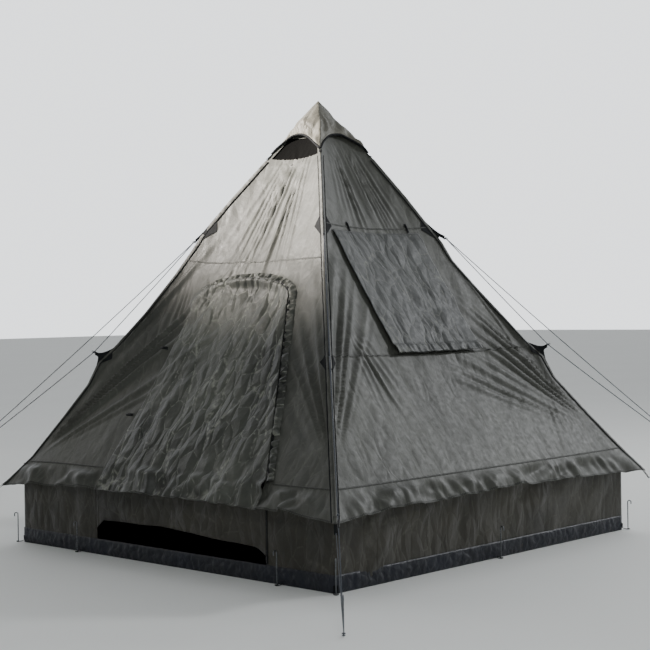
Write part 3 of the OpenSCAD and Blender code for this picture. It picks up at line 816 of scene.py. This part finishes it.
# ---- Vent hood
# A square cap of stiffer, paler cloth over the vents: arched at each side, bound at its edge, and
# strapped at its corners.
hood_taffeta = taffeta("pale_olive_coated_polyester_taffeta", "#78756a", "#4c4a41", 0.055, 20, 0.6)
hood_half, hood_foot, hood_peak, hood_arch = 0.202, 2.274, 2.597, 0.120
hood_thick = 0.0015
hood_cells = 56
hood_pitch = math.atan2(hood_peak - hood_foot, hood_half)
hood_length = math.hypot(hood_peak - hood_foot, hood_half)


def place_hood(points, lift=0.0):
    out = []
    own = (0.044 * (pleats(points, 0.150, 104, (45, 100, 160)) - 0.22)
           + 0.014 * (pleats(points, 0.055, 102, (20, 80, 140)) - 0.22)
           + 0.010 * (creases(points, 0.09, 103) - 0.5))
    for (x, y), push in zip(points.tolist(), own.tolist()):
        side = side_of(x, y)
        turn = math.radians(90 * side)
        u, v = turned(x, y, -turn)
        m = max(abs(v) / hood_half, 1e-6)
        share = min(1, abs(u) / hood_half / m)
        way_along = math.copysign(share, u)
        arch = (1 - share ** 2) * (1 - 0.45 * way_along if side == FRONT else 1 + 0.1 * way_along)
        up = hood_length * (1 - m) + hood_arch * arch * m ** 2.5
        if side == RIGHT and u <= 0:
            pocket = math.hypot((m - 0.64) / 0.26, (share - 0.66) / 0.30)
            push += 0.007 * math.exp(-((pocket - 1) / 0.4) ** 2) - 0.007 * math.exp(-(pocket / 0.7) ** 2)
        swell = 0.014 * math.sin(math.pi * m) * (1 - share ** 2)
        push = push * min(1, m * 2.2) * (1 - 0.5 * ease((m - 0.85) / 0.15)) + lift + swell
        other = math.copysign(float(ease((share - 0.75) / 0.25)), u)
        tilt = math.sin(hood_pitch)
        way = Vector((other * tilt, -tilt, 0)).normalized() * tilt
        blunt = 0.010 * math.exp(-(m / 0.12) ** 2)
        at = Vector((u * 0.985, -hood_half + up * math.cos(hood_pitch) if share < 1 else -hood_half * m,
                     hood_foot + up * math.sin(hood_pitch) - blunt))
        at += float(push) * Vector((way.x, way.y, math.cos(hood_pitch)))
        out.append((*turned(at.x, at.y, turn), at.z))
    return np.array(out)


bm = bmesh.new()
bmesh.ops.create_grid(bm, x_segments=hood_cells, y_segments=hood_cells, size=hood_half)
bmesh.ops.connect_verts(bm, verts=[v for v in bm.verts if abs(abs(v.co.x) - abs(v.co.y)) < 1e-5])
keep_flat_size(bm)
lay(bm, place_hood)
hood = as_piece("hood", bm, hood_taffeta, thick=hood_thick, replaces=["vent_hood"])

# The hood's edge is bound in dark tape, and a strap holds each corner down to its ridge.
binding_tape, tree = new_material("black_woven_polyester_tape")
flat = add_node(tree, "UVMap", uv_map="flat").outputs[0]
ribs = add_node(tree, "TexNoise", {
    "Vector": add_node(tree, "Mapping", {"Vector": flat, "Scale": (1, 0.1, 1)}).outputs[0],
    "Scale": 400, "Detail": 1}).outputs["Fac"]
dust = add_node(tree, "TexNoise", {
    "Vector": add_node(tree, "TexCoord").outputs["Object"], "Scale": 25, "Detail": 4}).outputs["Fac"]
tint = two_tone(tree, dust, "#0b0c0d", "#1f2123")
bump = add_node(tree, "Bump", {"Height": ribs, "Distance": 0.0008, "Strength": 0.7})
close_material(tree, {
    "Base Color": tint, "Roughness": 0.8, "IOR": 1.3, "Normal": bump.outputs[0]})

edge_steps = 28
edge_points = [turned(hood_half * (2 * i / edge_steps - 1), -hood_half * 0.999, math.radians(90 * side))
               for side in range(4) for i in range(edge_steps)]
edge_path = place_hood(np.array(edge_points + edge_points[:1]))
as_piece("hood_binding", tube_mesh(edge_path, 0.0070, 8), binding_tape)


def strip_between(a, b, width_way, width, thick, steps=6, bow=0.0, bow_way=(0, 0, 1)):
    """A flat strap from a to b, as a thin closed band that may bow."""
    a, b, across = Vector(a), Vector(b), Vector(width_way).normalized()
    bm = cloth_grid(0, 1, -width / 2, width / 2, 1 / steps, width / 2)
    keep_flat_size(bm, lambda face, co: (co.x * (b - a).length, co.y))
    for v in bm.verts:
        t = v.co.x
        v.co = a.lerp(b, t) + across * v.co.y + Vector(bow_way) * (4 * bow * t * (1 - t))
    bmesh.ops.solidify(bm, geom=bm.faces[:], thickness=thick)
    return bm


bm = bmesh.new()
for corner in range(4):
    turn = corner_turn(corner)
    foot_r = hood_half * math.sqrt(2)
    out_r = foot_r + 0.030
    line = np.array(ridge_lines[corner])
    ridge_at = peak_height - (peak_height - eave_height) * out_r / (eave_half * math.sqrt(2)) + np.interp(
        out_r, line[:, 0], line[:, 1])
    one = strip_between((foot_r - 0.006, 0, hood_foot - 0.002), (out_r, 0, ridge_at + 0.006), (0, 1, 0),
                        0.016, 0.0018)
    bmesh.ops.transform(one, matrix=turn, verts=one.verts)
    join(bm, one)
as_piece("hood_corner_straps", bm, binding_tape, replaces=["hood_straps"])

# ---- Netting
# Black polyester insect netting, drawn as a fine grid of threads on a closed sheet, sewn inside
# the two vents and the window. The closed sheet between the threads is painted near-black, as painted
# shade of the dark inside seen through the mesh.
netting, tree = new_material("black_polyester_insect_netting")
flat = add_node(tree, "UVMap", uv_map="flat").outputs[0]
lines = [add_node(tree, "TexWave", {"Vector": flat, "Scale": wave_period / 0.004},
                  bands_direction=d).outputs["Fac"] for d in ("X", "Y")]
thread = add_node(tree, "Math", {0: lines[0], 1: lines[1]}, operation="MAXIMUM").outputs[0]
# The near-black between the threads is painted shade of the tent's dark inside, over the net's own black.
tint = two_tone(tree, thread, "#020202", "#0b0b0a")
bump = add_node(tree, "Bump", {"Height": thread, "Distance": 0.0006})
close_material(tree, {
    "Base Color": tint, "Roughness": 0.9, "IOR": 1.15, "Normal": bump.outputs[0]})


def roof_patch(side, x0, x1, y0, y1, cell, lift, outline=None, calm=1.0):
    bm = cloth_grid(x0, x1, y0, y1, cell)
    if outline:
        cut_out(bm, outline, cell * 2.2, keep=True)
    keep_flat_size(bm)
    lay(bm, lambda flat: roof(side, flat, lift, calm))
    return bm


low, high = face_length - 0.437, face_length - 0.238
net_thick = 0.0005
vent_net = []
for side in (FRONT, BACK):
    reach = [eave_half * (1 - up / face_length) - 0.012 for up in (low, high)]
    line = [(-reach[0], low), (reach[0], low), (reach[1], high), (-reach[1], high)]
    vent_net.append(roof_patch(side, -reach[0], reach[0], low, high, 0.012, -0.006, line))
nets = as_piece("vent_netting", join(*vent_net), netting, thick=net_thick,
                replaces=["vent_meshes"])
half = window_side / 2 + 0.010
net = as_piece("window_netting", roof_patch(RIGHT, window_middle[0] - half, window_middle[0] + half,
               window_middle[1] - half, window_middle[1] + half, 0.02, -0.006), netting,
               thick=net_thick, replaces=["window_mesh"])

# ---- Seams, ridge bindings and door piping
# Where panels meet they are lapped and sewn down twice; a folded strip of roof cloth, piped in
# black, covers each ridge; a gathered strip covers the zip round the arch of the door.
seam_thread, tree = new_material("double_stitched_lap_seam")
flat = add_node(tree, "UVMap", uv_map="flat").outputs[0]
parts = add_node(tree, "SeparateXYZ", {0: flat})
stitch = add_node(tree, "TexWave", {"Vector": flat, "Scale": wave_period / 0.010},
                  bands_direction="X").outputs["Fac"]
row = add_node(tree, "Math", {0: parts.outputs[1]}, operation="ABSOLUTE").outputs[0]
near_row = add_node(tree, "MapRange", {"Value": row, "From Min": 0.0022, "From Max": 0.0034}).outputs[0]
sewn = add_node(tree, "Math", {0: stitch, 1: near_row}, operation="MULTIPLY").outputs[0]
pucker = add_node(tree, "TexNoise", {"Vector": flat, "Scale": 70, "Detail": 2}).outputs["Fac"]
# The seam strip's dark tone is painted shade: it stands in for the shadow in the lap of the seam, with
# lighter stitches over it.
shade = two_tone(tree, pucker, "#1d1e1b", "#35362f")
tint = add_node(tree, "Mix", {0: sewn, 6: shade, 7: linear("#4c4d45")}, data_type="RGBA").outputs[2]
height = add_node(tree, "Math", {0: sewn, 1: pucker}, operation="ADD").outputs[0]
bump = add_node(tree, "Bump", {"Height": height, "Distance": 0.0015})
close_material(tree, {
    "Base Color": tint, "Roughness": 0.6, "Normal": bump.outputs[0]})


def spaced(points, step):
    """Points of a broken line at even distances along it, with the distance of each."""
    points = np.array(points, float)
    run = np.concatenate([[0], np.cumsum(np.hypot(*np.diff(points, axis=0).T))])
    at = np.linspace(0, run[-1], max(2, int(run[-1] / step)) + 1)
    return np.stack([np.interp(at, run, points[:, 0]), np.interp(at, run, points[:, 1])], 1), at


def roof_ribbon(side, line, width, lift, crown=0.0, gather=0.0, gather_size=0.02, step=0.012, across=4,
                seed=1, calm=1.0):
    """A narrow strip that follows a line on the roof, raised along its middle, and gathered if asked."""
    path, at = spaced(line, step)
    ways = np.gradient(path, axis=0)
    ways /= np.hypot(ways[:, 0], ways[:, 1])[:, None]
    bm = cloth_grid(0, len(path) - 1, -1, 1, 1, 2 / across)
    keep_flat_size(bm, lambda face, co: (at[round(co.x)], co.y * width / 2))

    def place(points):
        i = np.rint(points[:, 0]).astype(int)
        off = points[:, 1] * width / 2
        spot = path[i] + np.stack([-ways[i, 1], ways[i, 0]], 1) * off[:, None]
        dome = np.clip(1 - points[:, 1] ** 2, 0, 1)
        frill = gather * rough(np.stack([at[i], off * 0.35], 1), gather_size, seed)
        return roof(side, spot, lift + crown * dome ** 0.6 + frill * (0.3 + dome), calm)

    lay(bm, place)
    return bm


def across_face(up, gap=0.004):
    reach = eave_half * (1 - up / face_length) - gap
    return [(-reach, up), (reach, up)]


seams = []
for side, up in ((FRONT, 1.525), (RIGHT, 0.905), (RIGHT, 1.735), (BACK, 1.525), (LEFT, 0.905),
                 (LEFT, 1.735),
                 (RIGHT, band_top), (BACK, band_top), (LEFT, band_top)):
    seams.append(roof_ribbon(side, across_face(up), 0.009, 0.0016, 0.002, 0.0012, seed=up))
left_end, right_end = across_face(band_top)
seams.append(roof_ribbon(FRONT, [left_end, (-door_left - 0.02, band_top)], 0.009, 0.0016, 0.002, 0.0012,
                         seed=3))
seams.append(roof_ribbon(FRONT, [(door_right + 0.06, band_top), right_end], 0.009, 0.0016, 0.002, 0.0012,
                         seed=4))
for side in range(4):
    reach = [(-1, 1)] if side != FRONT else [(-1, -door_left / eave_half - 0.012),
                                             (door_right / eave_half + 0.012, 1)]
    for a, b in reach:
        us = np.linspace(a, b, 40) * (eave_half - 0.006)
        seams.append(roof_ribbon(side, [(u, door_foot(u) + 0.011) for u in us], 0.012, 0.0012, 0.0012,
                                 0.0012, seed=11))
as_piece("roof_seams", join(*seams), seam_thread)

bindings, cords = [], []
for side in range(4):
    for end in (-1, 1):
        foot, top = 0.004, face_length - 0.42
        reach = [eave_half * (1 - up / face_length) for up in (foot, top)]
        line = [(end * (reach[0] - 0.011), foot), (end * (reach[1] - 0.011), top)]
        bindings.append(roof_ribbon(side, line, 0.020, 0.0022, 0.0020, 0.0016, 0.03, step=0.014,
                                    seed=side + end))
        rope_line = [(end * (reach[0] - 0.024), foot), (end * (reach[1] - 0.024), top)]
        cords.append(roof_ribbon(side, rope_line, 0.0065, 0.0024, 0.0035, 0.0006, step=0.02, seed=side))
as_piece("ridge_binding", join(*bindings), roof_taffeta, replaces=["ridge_tapes"])
as_piece("ridge_piping", join(*cords), binding_tape)


def door_edge(grow, from_up=band_top + 0.01):
    """The line round the door, from the foot of its right edge up and over the arch."""
    reach = door_right + grow + (arch_middle + arch_half
                                 - door_right) * (from_up - band_top) / (door_arch_up - band_top)
    return [(reach, from_up)] + [(arch_middle + (arch_half + grow) * math.cos(math.radians(a)),
                                  door_arch_up + (arch_rise + grow) * math.sin(math.radians(a)))
                                 for a in range(0, 151, 6)]


zip_cover = roof_ribbon(FRONT, door_edge(0.040), 0.044, 0.0030, 0.007, 0.018, 0.024, step=0.006, across=8,
                        seed=9)
as_piece("door_piping", zip_cover, door_taffeta)

# ---- Zips
# Moulded plastic zips with their teeth on woven tape: round the door's arch and right edge, and
# up the right edge of the lower leaf. Each slider has a pull of folded tape.
zip_plastic, tree = new_material("black_moulded_acetal")
solid = add_node(tree, "TexCoord").outputs["Object"]
scuff = add_node(tree, "TexNoise", {"Vector": solid, "Scale": 180, "Detail": 3}).outputs["Fac"]
tint = two_tone(tree, scuff, "#0c0c0d", "#232426")
gloss = add_node(tree, "MapRange", {"Value": scuff, "To Min": 0.3, "To Max": 0.5}).outputs[0]
bump = add_node(tree, "Bump", {"Height": scuff, "Distance": 0.0003})
close_material(tree, {
    "Base Color": tint, "Roughness": gloss, "IOR": 1.48, "Normal": bump.outputs[0]})


def block(size, at, bevel=0.0, segments=2):
    bm = bmesh.new()
    bmesh.ops.create_cube(bm, size=1)
    bmesh.ops.scale(bm, vec=size, verts=bm.verts)
    if bevel:
        bmesh.ops.bevel(bm, geom=bm.edges[:], offset=bevel, offset_type="OFFSET", segments=segments,
                        profile=0.5,
                        affect="EDGES", material=-1)
    bmesh.ops.translate(bm, vec=at, verts=bm.verts)
    return bm


def teeth_along(points, ways, outs):
    """One moulded tooth at each point, alternately to the left and right of the line."""
    all_teeth = bmesh.new()
    for i, (p, way, out) in enumerate(zip(points, ways, outs)):
        way, out = Vector(way).normalized(), Vector(out).normalized()
        across = out.cross(way).normalized()
        tooth = block((0.0028, 0.0052, 0.0022), ((0, (0.0012 if i % 2 else -0.0012), 0)))
        turn = Matrix((way, across, way.cross(across))).transposed().to_4x4()
        bmesh.ops.transform(tooth, matrix=Matrix.Translation(p) @ turn, verts=tooth.verts)
        join(all_teeth, tooth)
    return all_teeth


front_out = Vector((0, -math.sin(pitch), math.cos(pitch)))
tape = roof_ribbon(FRONT, door_edge(0.0205), 0.013, 0.0028, 0.0005, step=0.010, across=2)
path, at = spaced(door_edge(0.0205), 0.006)
spots = roof(FRONT, path, 0.0046)
teeth = teeth_along(spots, np.gradient(spots, axis=0), [front_out] * len(spots))
teeth.loops.layers.uv.new("flat")
as_piece("door_zip_tape", tape, binding_tape)
as_piece("door_zip_teeth", teeth, zip_plastic, replaces=["door_zip"], smooth=False)

zip_x, zip_y = 0.799, -wall_half - 0.0035
tape = block((0.013, 0.0010, 0.375), (zip_x, zip_y + 0.0012, 0.2785))
tape.loops.layers.uv.new("flat")
spots = [(zip_x, zip_y, 0.094 + 0.006 * i) for i in range(62)]
teeth = teeth_along(spots, [(0, 0, 1)] * len(spots), [(0, -1, 0)] * len(spots))
as_piece("wall_zip_tape", tape, binding_tape, smooth=False)
as_piece("wall_zip_teeth", teeth, zip_plastic, replaces=["wall_zip"], smooth=False)


def slider(turned):
    """A zip slider lying on its back: a waisted body, a bridge, and a pull of folded tape."""
    body = block((0.0125, 0.022, 0.0034), (0, 0, 0.0022), 0.0012)
    bmesh.ops.scale(body, vec=(0.72, 1, 1), verts=[v for v in body.verts if v.co.y < -0.002])
    join(body, block((0.0034, 0.015, 0.0030), (0, 0, 0.0052), 0.0010),
         tube_mesh([(0.0030 * math.cos(t), -0.012 - 0.004 * math.sin(t), 0.0042) for t in
                    full_turn(12)], 0.0008, 6),
         block((0.0085, 0.034, 0.0016), (0, -0.031, 0.0036), 0.0006))
    bmesh.ops.transform(body, matrix=turned, verts=body.verts)
    return body


slide_up = band_top + 0.075
lean = math.atan2(door_right - arch_middle - arch_half, door_arch_up - band_top)
slide_at = roof(FRONT, np.array([[door_right + 0.0226 - math.tan(lean) * (slide_up - band_top),
                                  slide_up]]), 0.0048)[0]
face_turn = (Matrix.Translation(slide_at) @ Matrix.Rotation(pitch, 4, "X") @ Matrix.Rotation(lean, 4, "Z"))
as_piece("door_slider", slider(face_turn), zip_plastic, body="door_zip_slider",
         replaces=["door_zip_slider"])
wall_turn = Matrix.Translation((zip_x, zip_y, 0.147)) @ Matrix.Rotation(math.radians(90), 4, "X")
as_piece("wall_slider", slider(wall_turn), zip_plastic, body="wall_zip_slider",
         replaces=["wall_zip_slider"])

# ---- Ties
# A tape loop and a turned toggle at each place where a rolled flap is held: two beside the door's
# left edge, and two above the window.


def toggle(at, way, length=0.034, radius=0.0032):
    bm = bmesh.new()
    bmesh.ops.create_cone(bm, cap_ends=True, segments=14, radius1=radius, radius2=radius, depth=length)
    ends = [e for e in bm.edges if len({round(v.co.z, 5) for v in e.verts}) == 1]
    bmesh.ops.bevel(bm, geom=ends, offset=radius * 0.45, offset_type="OFFSET", segments=2, profile=0.5,
                    affect="EDGES", material=-1)
    bmesh.ops.scale(bm, vec=(0.7, 0.7, 1), verts=[v for v in bm.verts if abs(v.co.z) < radius])
    turn = Vector(way).to_track_quat("Z", "Y").to_matrix().to_4x4()
    bmesh.ops.transform(bm, matrix=Matrix.Translation(at) @ turn, verts=bm.verts)
    return bm


tie_bands, toggles = [], []
for up in (0.520, 0.950):
    u = -door_left - flap_lap - 0.088 + (up - 0.03) * (door_left + arch_middle
                                                       - arch_half) / (door_arch_up - 0.03)
    tie_bands.append(roof_ribbon(FRONT, [(u, up), (u + 0.060, up)], 0.016, 0.0030, 0.002, 0.002,
                                 step=0.006, seed=6))
    spot, ahead = roof(FRONT, np.array([[u + 0.022, up], [u + 0.024, up]]), 0.0080)
    toggles.append(toggle(spot, ahead - spot))
as_piece("door_tie_bands", join(*tie_bands), binding_tape, replaces=["door_ties"])
as_piece("door_toggles", join(*toggles), zip_plastic)
tie_bands, toggles = [], []
for u in (-0.230, 0.270):
    tie_bands.append(roof_ribbon(RIGHT, [(u, flap_top + 0.006), (u, flap_top + 0.066)], 0.016, 0.0030,
                                 0.002, 0.002,
                                 step=0.006, seed=8))
    spot, ahead = roof(RIGHT, np.array([[u, flap_top + 0.040], [u, flap_top + 0.042]]), 0.0080)
    toggles.append(toggle(spot, ahead - spot))
as_piece("window_tie_bands", join(*tie_bands), binding_tape, replaces=["window_ties"])
as_piece("window_toggles", join(*toggles), zip_plastic)

# ---- Guy tabs
# Doubled triangles of black cloth sewn into each ridge, hollow-edged where the rope pulls them out,
# with a patch on both faces and a short tape loop at the tip.


def ridge_point(corner, r, lift=0.0):
    """A point on the crest of a ridge as it is pulled, as distance from the pole and height."""
    line = np.array(ridge_lines[corner])
    rise = np.interp(r, line[:, 0], line[:, 1]) * math.cos(ridge_pitch) + lift
    z = peak_height - (peak_height - eave_height) * r / (eave_half * math.sqrt(2))
    return Vector((r + rise * math.sin(ridge_pitch), 0, z + rise * math.cos(ridge_pitch)))


def tab_mesh(corner, root, tip, hollow=0.30):
    tip = Vector((tip[0], 0, tip[1]))
    bm = cloth_grid(0, 1, 0, 1, 0.1, 0.125)
    keep_flat_size(bm, lambda face, co: (co.x * 0.13, co.y * 0.12))
    for v in bm.verts:
        s, t = v.co.x, v.co.y
        narrow = 0.5 + (s - 0.5) * (1 - t) ** (1 + hollow * 3)
        foot = ridge_point(corner, root[0] + (root[1] - root[0]) * narrow, -0.004)
        ripple = Vector((0, 0.004 * noise.noise((s * 6, t * 5, corner)), 0))
        v.co = foot.lerp(tip + Vector((0, 0, (0.5 - s) * 0.022)), t) + ripple
    bmesh.ops.solidify(bm, geom=bm.faces[:], thickness=0.002)
    bmesh.ops.transform(bm, matrix=corner_turn(corner), verts=bm.verts)
    return bm


def tip_loop(corner, tip, eye, width=0.012):
    """A short loop of tape at the tip of a tab, round the rope's knot."""
    tip, eye = Vector((tip[0], 0, tip[1])), Vector((eye[0], 0, eye[1]))
    way = (eye - tip).normalized() if (eye - tip).length > 0.001 else Vector((0.8, 0, -0.6))
    side = Vector((0, 1, 0)).cross(way)
    bm = tube_mesh([tip + way * (0.004 + 0.008 * (1 - math.cos(t))) + side * 0.005 * math.sin(t)
                    for t in full_turn(16)], 0.0014, 6)
    bmesh.ops.scale(bm, vec=(1, width / 0.0028 * 0.4, 1), verts=bm.verts)
    bmesh.ops.transform(bm, matrix=corner_turn(corner), verts=bm.verts)
    return bm


def tab_patch(side, end, root, reach):
    """A triangular patch beside a tab, on one face of the ridge."""
    ups = [face_length * (1 - r / (eave_half * math.sqrt(2))) for r in root]
    edge = [end * (eave_half * (1 - up / face_length) - 0.001) for up in ups]
    middle = sum(ups) / 2
    tip = end * (eave_half * (1 - middle / face_length) - reach)
    line = [(edge[0], ups[0]), (edge[1], ups[1]), (tip, middle)]
    if end > 0:
        line.reverse()
    xs, ys = [p[0] for p in line], [p[1] for p in line]
    return roof_patch(side, min(xs), max(xs), min(ys), max(ys), 0.012, 0.0030, line)


for label, node_name, root, tip, eye, reach in (
        ("upper_tabs", "upper_guy_tabs", (0.585, 0.722), (0.742, 1.764), upper_eye, 0.075),
        ("lower_tabs", "lower_guy_tabs", (1.215, 1.345), (1.346, 1.112), lower_eye, 0.060)):
    parts_of_tabs = [tab_mesh(c, root, tip) for c in range(4)] + [tip_loop(c, tip, eye) for c in range(4)]
    as_piece(label, join(*parts_of_tabs), binding_tape, replaces=[node_name])
    patches = [tab_patch(side, end, root, reach) for side in range(4) for end in (-1, 1)]
    as_piece(label + "_patches", join(*patches), binding_tape)

# ---- Eave corner loops
# A loop of folded tape sewn to each corner of the eave, with the eave cord tied to it: two bands
# that meet at the knot.
loops = []
for corner in range(4):
    root = ridge_point(corner, eave_half * math.sqrt(2) - 0.03, 0.001)
    one = strip_between(root, (eave_eye[0] - 0.004, 0, eave_eye[1] + 0.004), (0, 1, 0), 0.018, 0.0022)
    join(one, strip_between(root - Vector((0.002, 0, 0.008)),
                            (eave_eye[0] - 0.004, 0, eave_eye[1] - 0.004), (0, 1, 0), 0.018, 0.0022))
    bmesh.ops.transform(one, matrix=corner_turn(corner), verts=one.verts)
    loops.append(one)
as_piece("eave_loops", join(*loops), binding_tape, replaces=["eave_corner_loops"])

# ---- Runners
# Flat moulded runners, one on each guy rope, that hold the rope's length by friction. Each has
# the rims of three rope holes on both faces.
runner_from, runner_long = 0.030, 0.045
for corner, name in enumerate(CORNERS):
    run = Vector((peg_reach - peg_ring - meet[0], 0, 0.016 - meet[1])).normalized()
    one = block((0.016, 0.0075, runner_long), (0, 0, runner_from + runner_long / 2), 0.0022, 3)
    for z in (0.008, runner_long / 2, runner_long - 0.008):
        for y in (-1, 1):
            join(one, tube_mesh([(0.0042 * math.cos(t), y * 0.0040, runner_from + z + 0.0042 * math.sin(t))
                                 for t in full_turn(14)], 0.0010, 6))
    tilt = Matrix.Rotation(math.atan2(run.x, run.z), 4, "Y")
    bmesh.ops.transform(one, matrix=corner_turn(corner) @ Matrix.Translation((meet[0], 0, meet[1])) @ tilt,
                        verts=one.verts)
    as_piece("rope_runner_" + name, one, zip_plastic, body="runner_" + name,
             replaces=["runner_" + name])

# ---- Pegs, pole and inner fittings
# Bent wire pegs and a three-section tubular pole, both zinc-plated steel; a rubber foot, a moulded
# tip, a patch under the peak, and tape loops round the foot of the wall.
zinc_steel, tree = new_material("zinc_plated_mild_steel")
solid = add_node(tree, "TexCoord").outputs["Object"]
spangle = add_node(tree, "TexVoronoi", {"Vector": solid, "Scale": 260}).outputs["Color"]
scratch = add_node(tree, "TexNoise", {
    "Vector": add_node(tree, "Mapping", {"Vector": solid, "Scale": (1, 1, 0.04)}).outputs[0],
    "Scale": 320, "Detail": 3}).outputs["Fac"]
grey = add_node(tree, "SeparateColor", {0: spangle}).outputs[0]
tint = two_tone(tree, grey, "#55575a", "#85888b")
gloss = add_node(tree, "MapRange", {"Value": scratch, "To Min": 0.28, "To Max": 0.52}).outputs[0]
bump = add_node(tree, "Bump", {"Height": scratch, "Distance": 0.0002})
close_material(tree, {
    "Base Color": tint, "Metallic": 1.0, "Roughness": gloss, "Normal": bump.outputs[0]})

rubber, tree = new_material("black_moulded_rubber")
grain = add_node(tree, "TexNoise", {
    "Vector": add_node(tree, "TexCoord").outputs["Object"], "Scale": 600, "Detail": 2}).outputs["Fac"]
tint = two_tone(tree, grain, "#141414", "#262626")
bump = add_node(tree, "Bump", {"Height": grain, "Distance": 0.0003})
close_material(tree, {
    "Base Color": tint, "Roughness": 0.82, "Normal": bump.outputs[0]})

# Under the peak four triangles of tape cloth and two rolled rings take the tip of the pole.
crown = []
for side in range(4):
    crown.append(roof_patch(side, -0.062, 0.062, face_length - 0.118, face_length - 0.002, 0.008, -0.005,
                            [(-0.058, face_length - 0.116), (0.058, face_length - 0.116),
                             (0, face_length - 0.004)], 0.0))
collar = 0.0125
for below in (0.082, 0.076):
    crown.append(tube_mesh([(collar * math.cos(t), collar * math.sin(t), peak_height - below)
                            for t in full_turn(24)], 0.0030, 8))
as_piece("crown_patch", join(*crown), binding_tape, replaces=["apex_crown"])

# Each peg at the foot of the wall stands in a loop of tape that is sewn to the floor's edge.
loop_spots = [(math.radians(90 * c - 45), (wall_half + 0.001) * math.sqrt(2), 0.0) for c in range(4)]
loop_spots += [(math.radians(90 * side - 90), wall_half + 0.001, u) for side, u in (
    (FRONT, -0.700), (FRONT, 0.900), (RIGHT, 0.0), (BACK, 0.0), (LEFT, 0.0))]
peg_loops = []
for turn, start, along in loop_spots:
    one = bmesh.new()
    for y in (-1, 1):
        join(one, strip_between((0.001, y * 0.0105, 0.012), (0.035, y * 0.0105, 0.0052), (0, 1, 0), 0.005,
                                0.0018, 8, -0.002))
    join(one, strip_between((0.001, 0, 0.014), (0.0022, 0, 0.040), (0, 1, 0), 0.025, 0.0018, 6))
    bend = [(0.035 + 0.0105 * math.sin(t), 0.0105 * math.cos(t), 0.0052)
            for t in [i / 12 * math.pi for i in range(13)]]
    join(one, tube_mesh(bend, 0.0024, 8))
    bmesh.ops.transform(one, matrix=Matrix.Rotation(turn, 4, "Z") @ Matrix.Translation((start, along, 0)),
                        verts=one.verts)
    peg_loops.append(one)
as_piece("peg_loops", join(*peg_loops), binding_tape, replaces=["wall_peg_loops"])

for names, finish in ((("guy_pegs", "wall_pegs", "pole_lower", "pole_middle", "pole_upper",
                        "pole_ferrules"), zinc_steel),
                      (("pole_foot",), rubber), (("pole_tip",), zip_plastic)):
    for name in names:
        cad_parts[name].data.materials.clear()
        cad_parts[name].data.materials.append(finish)
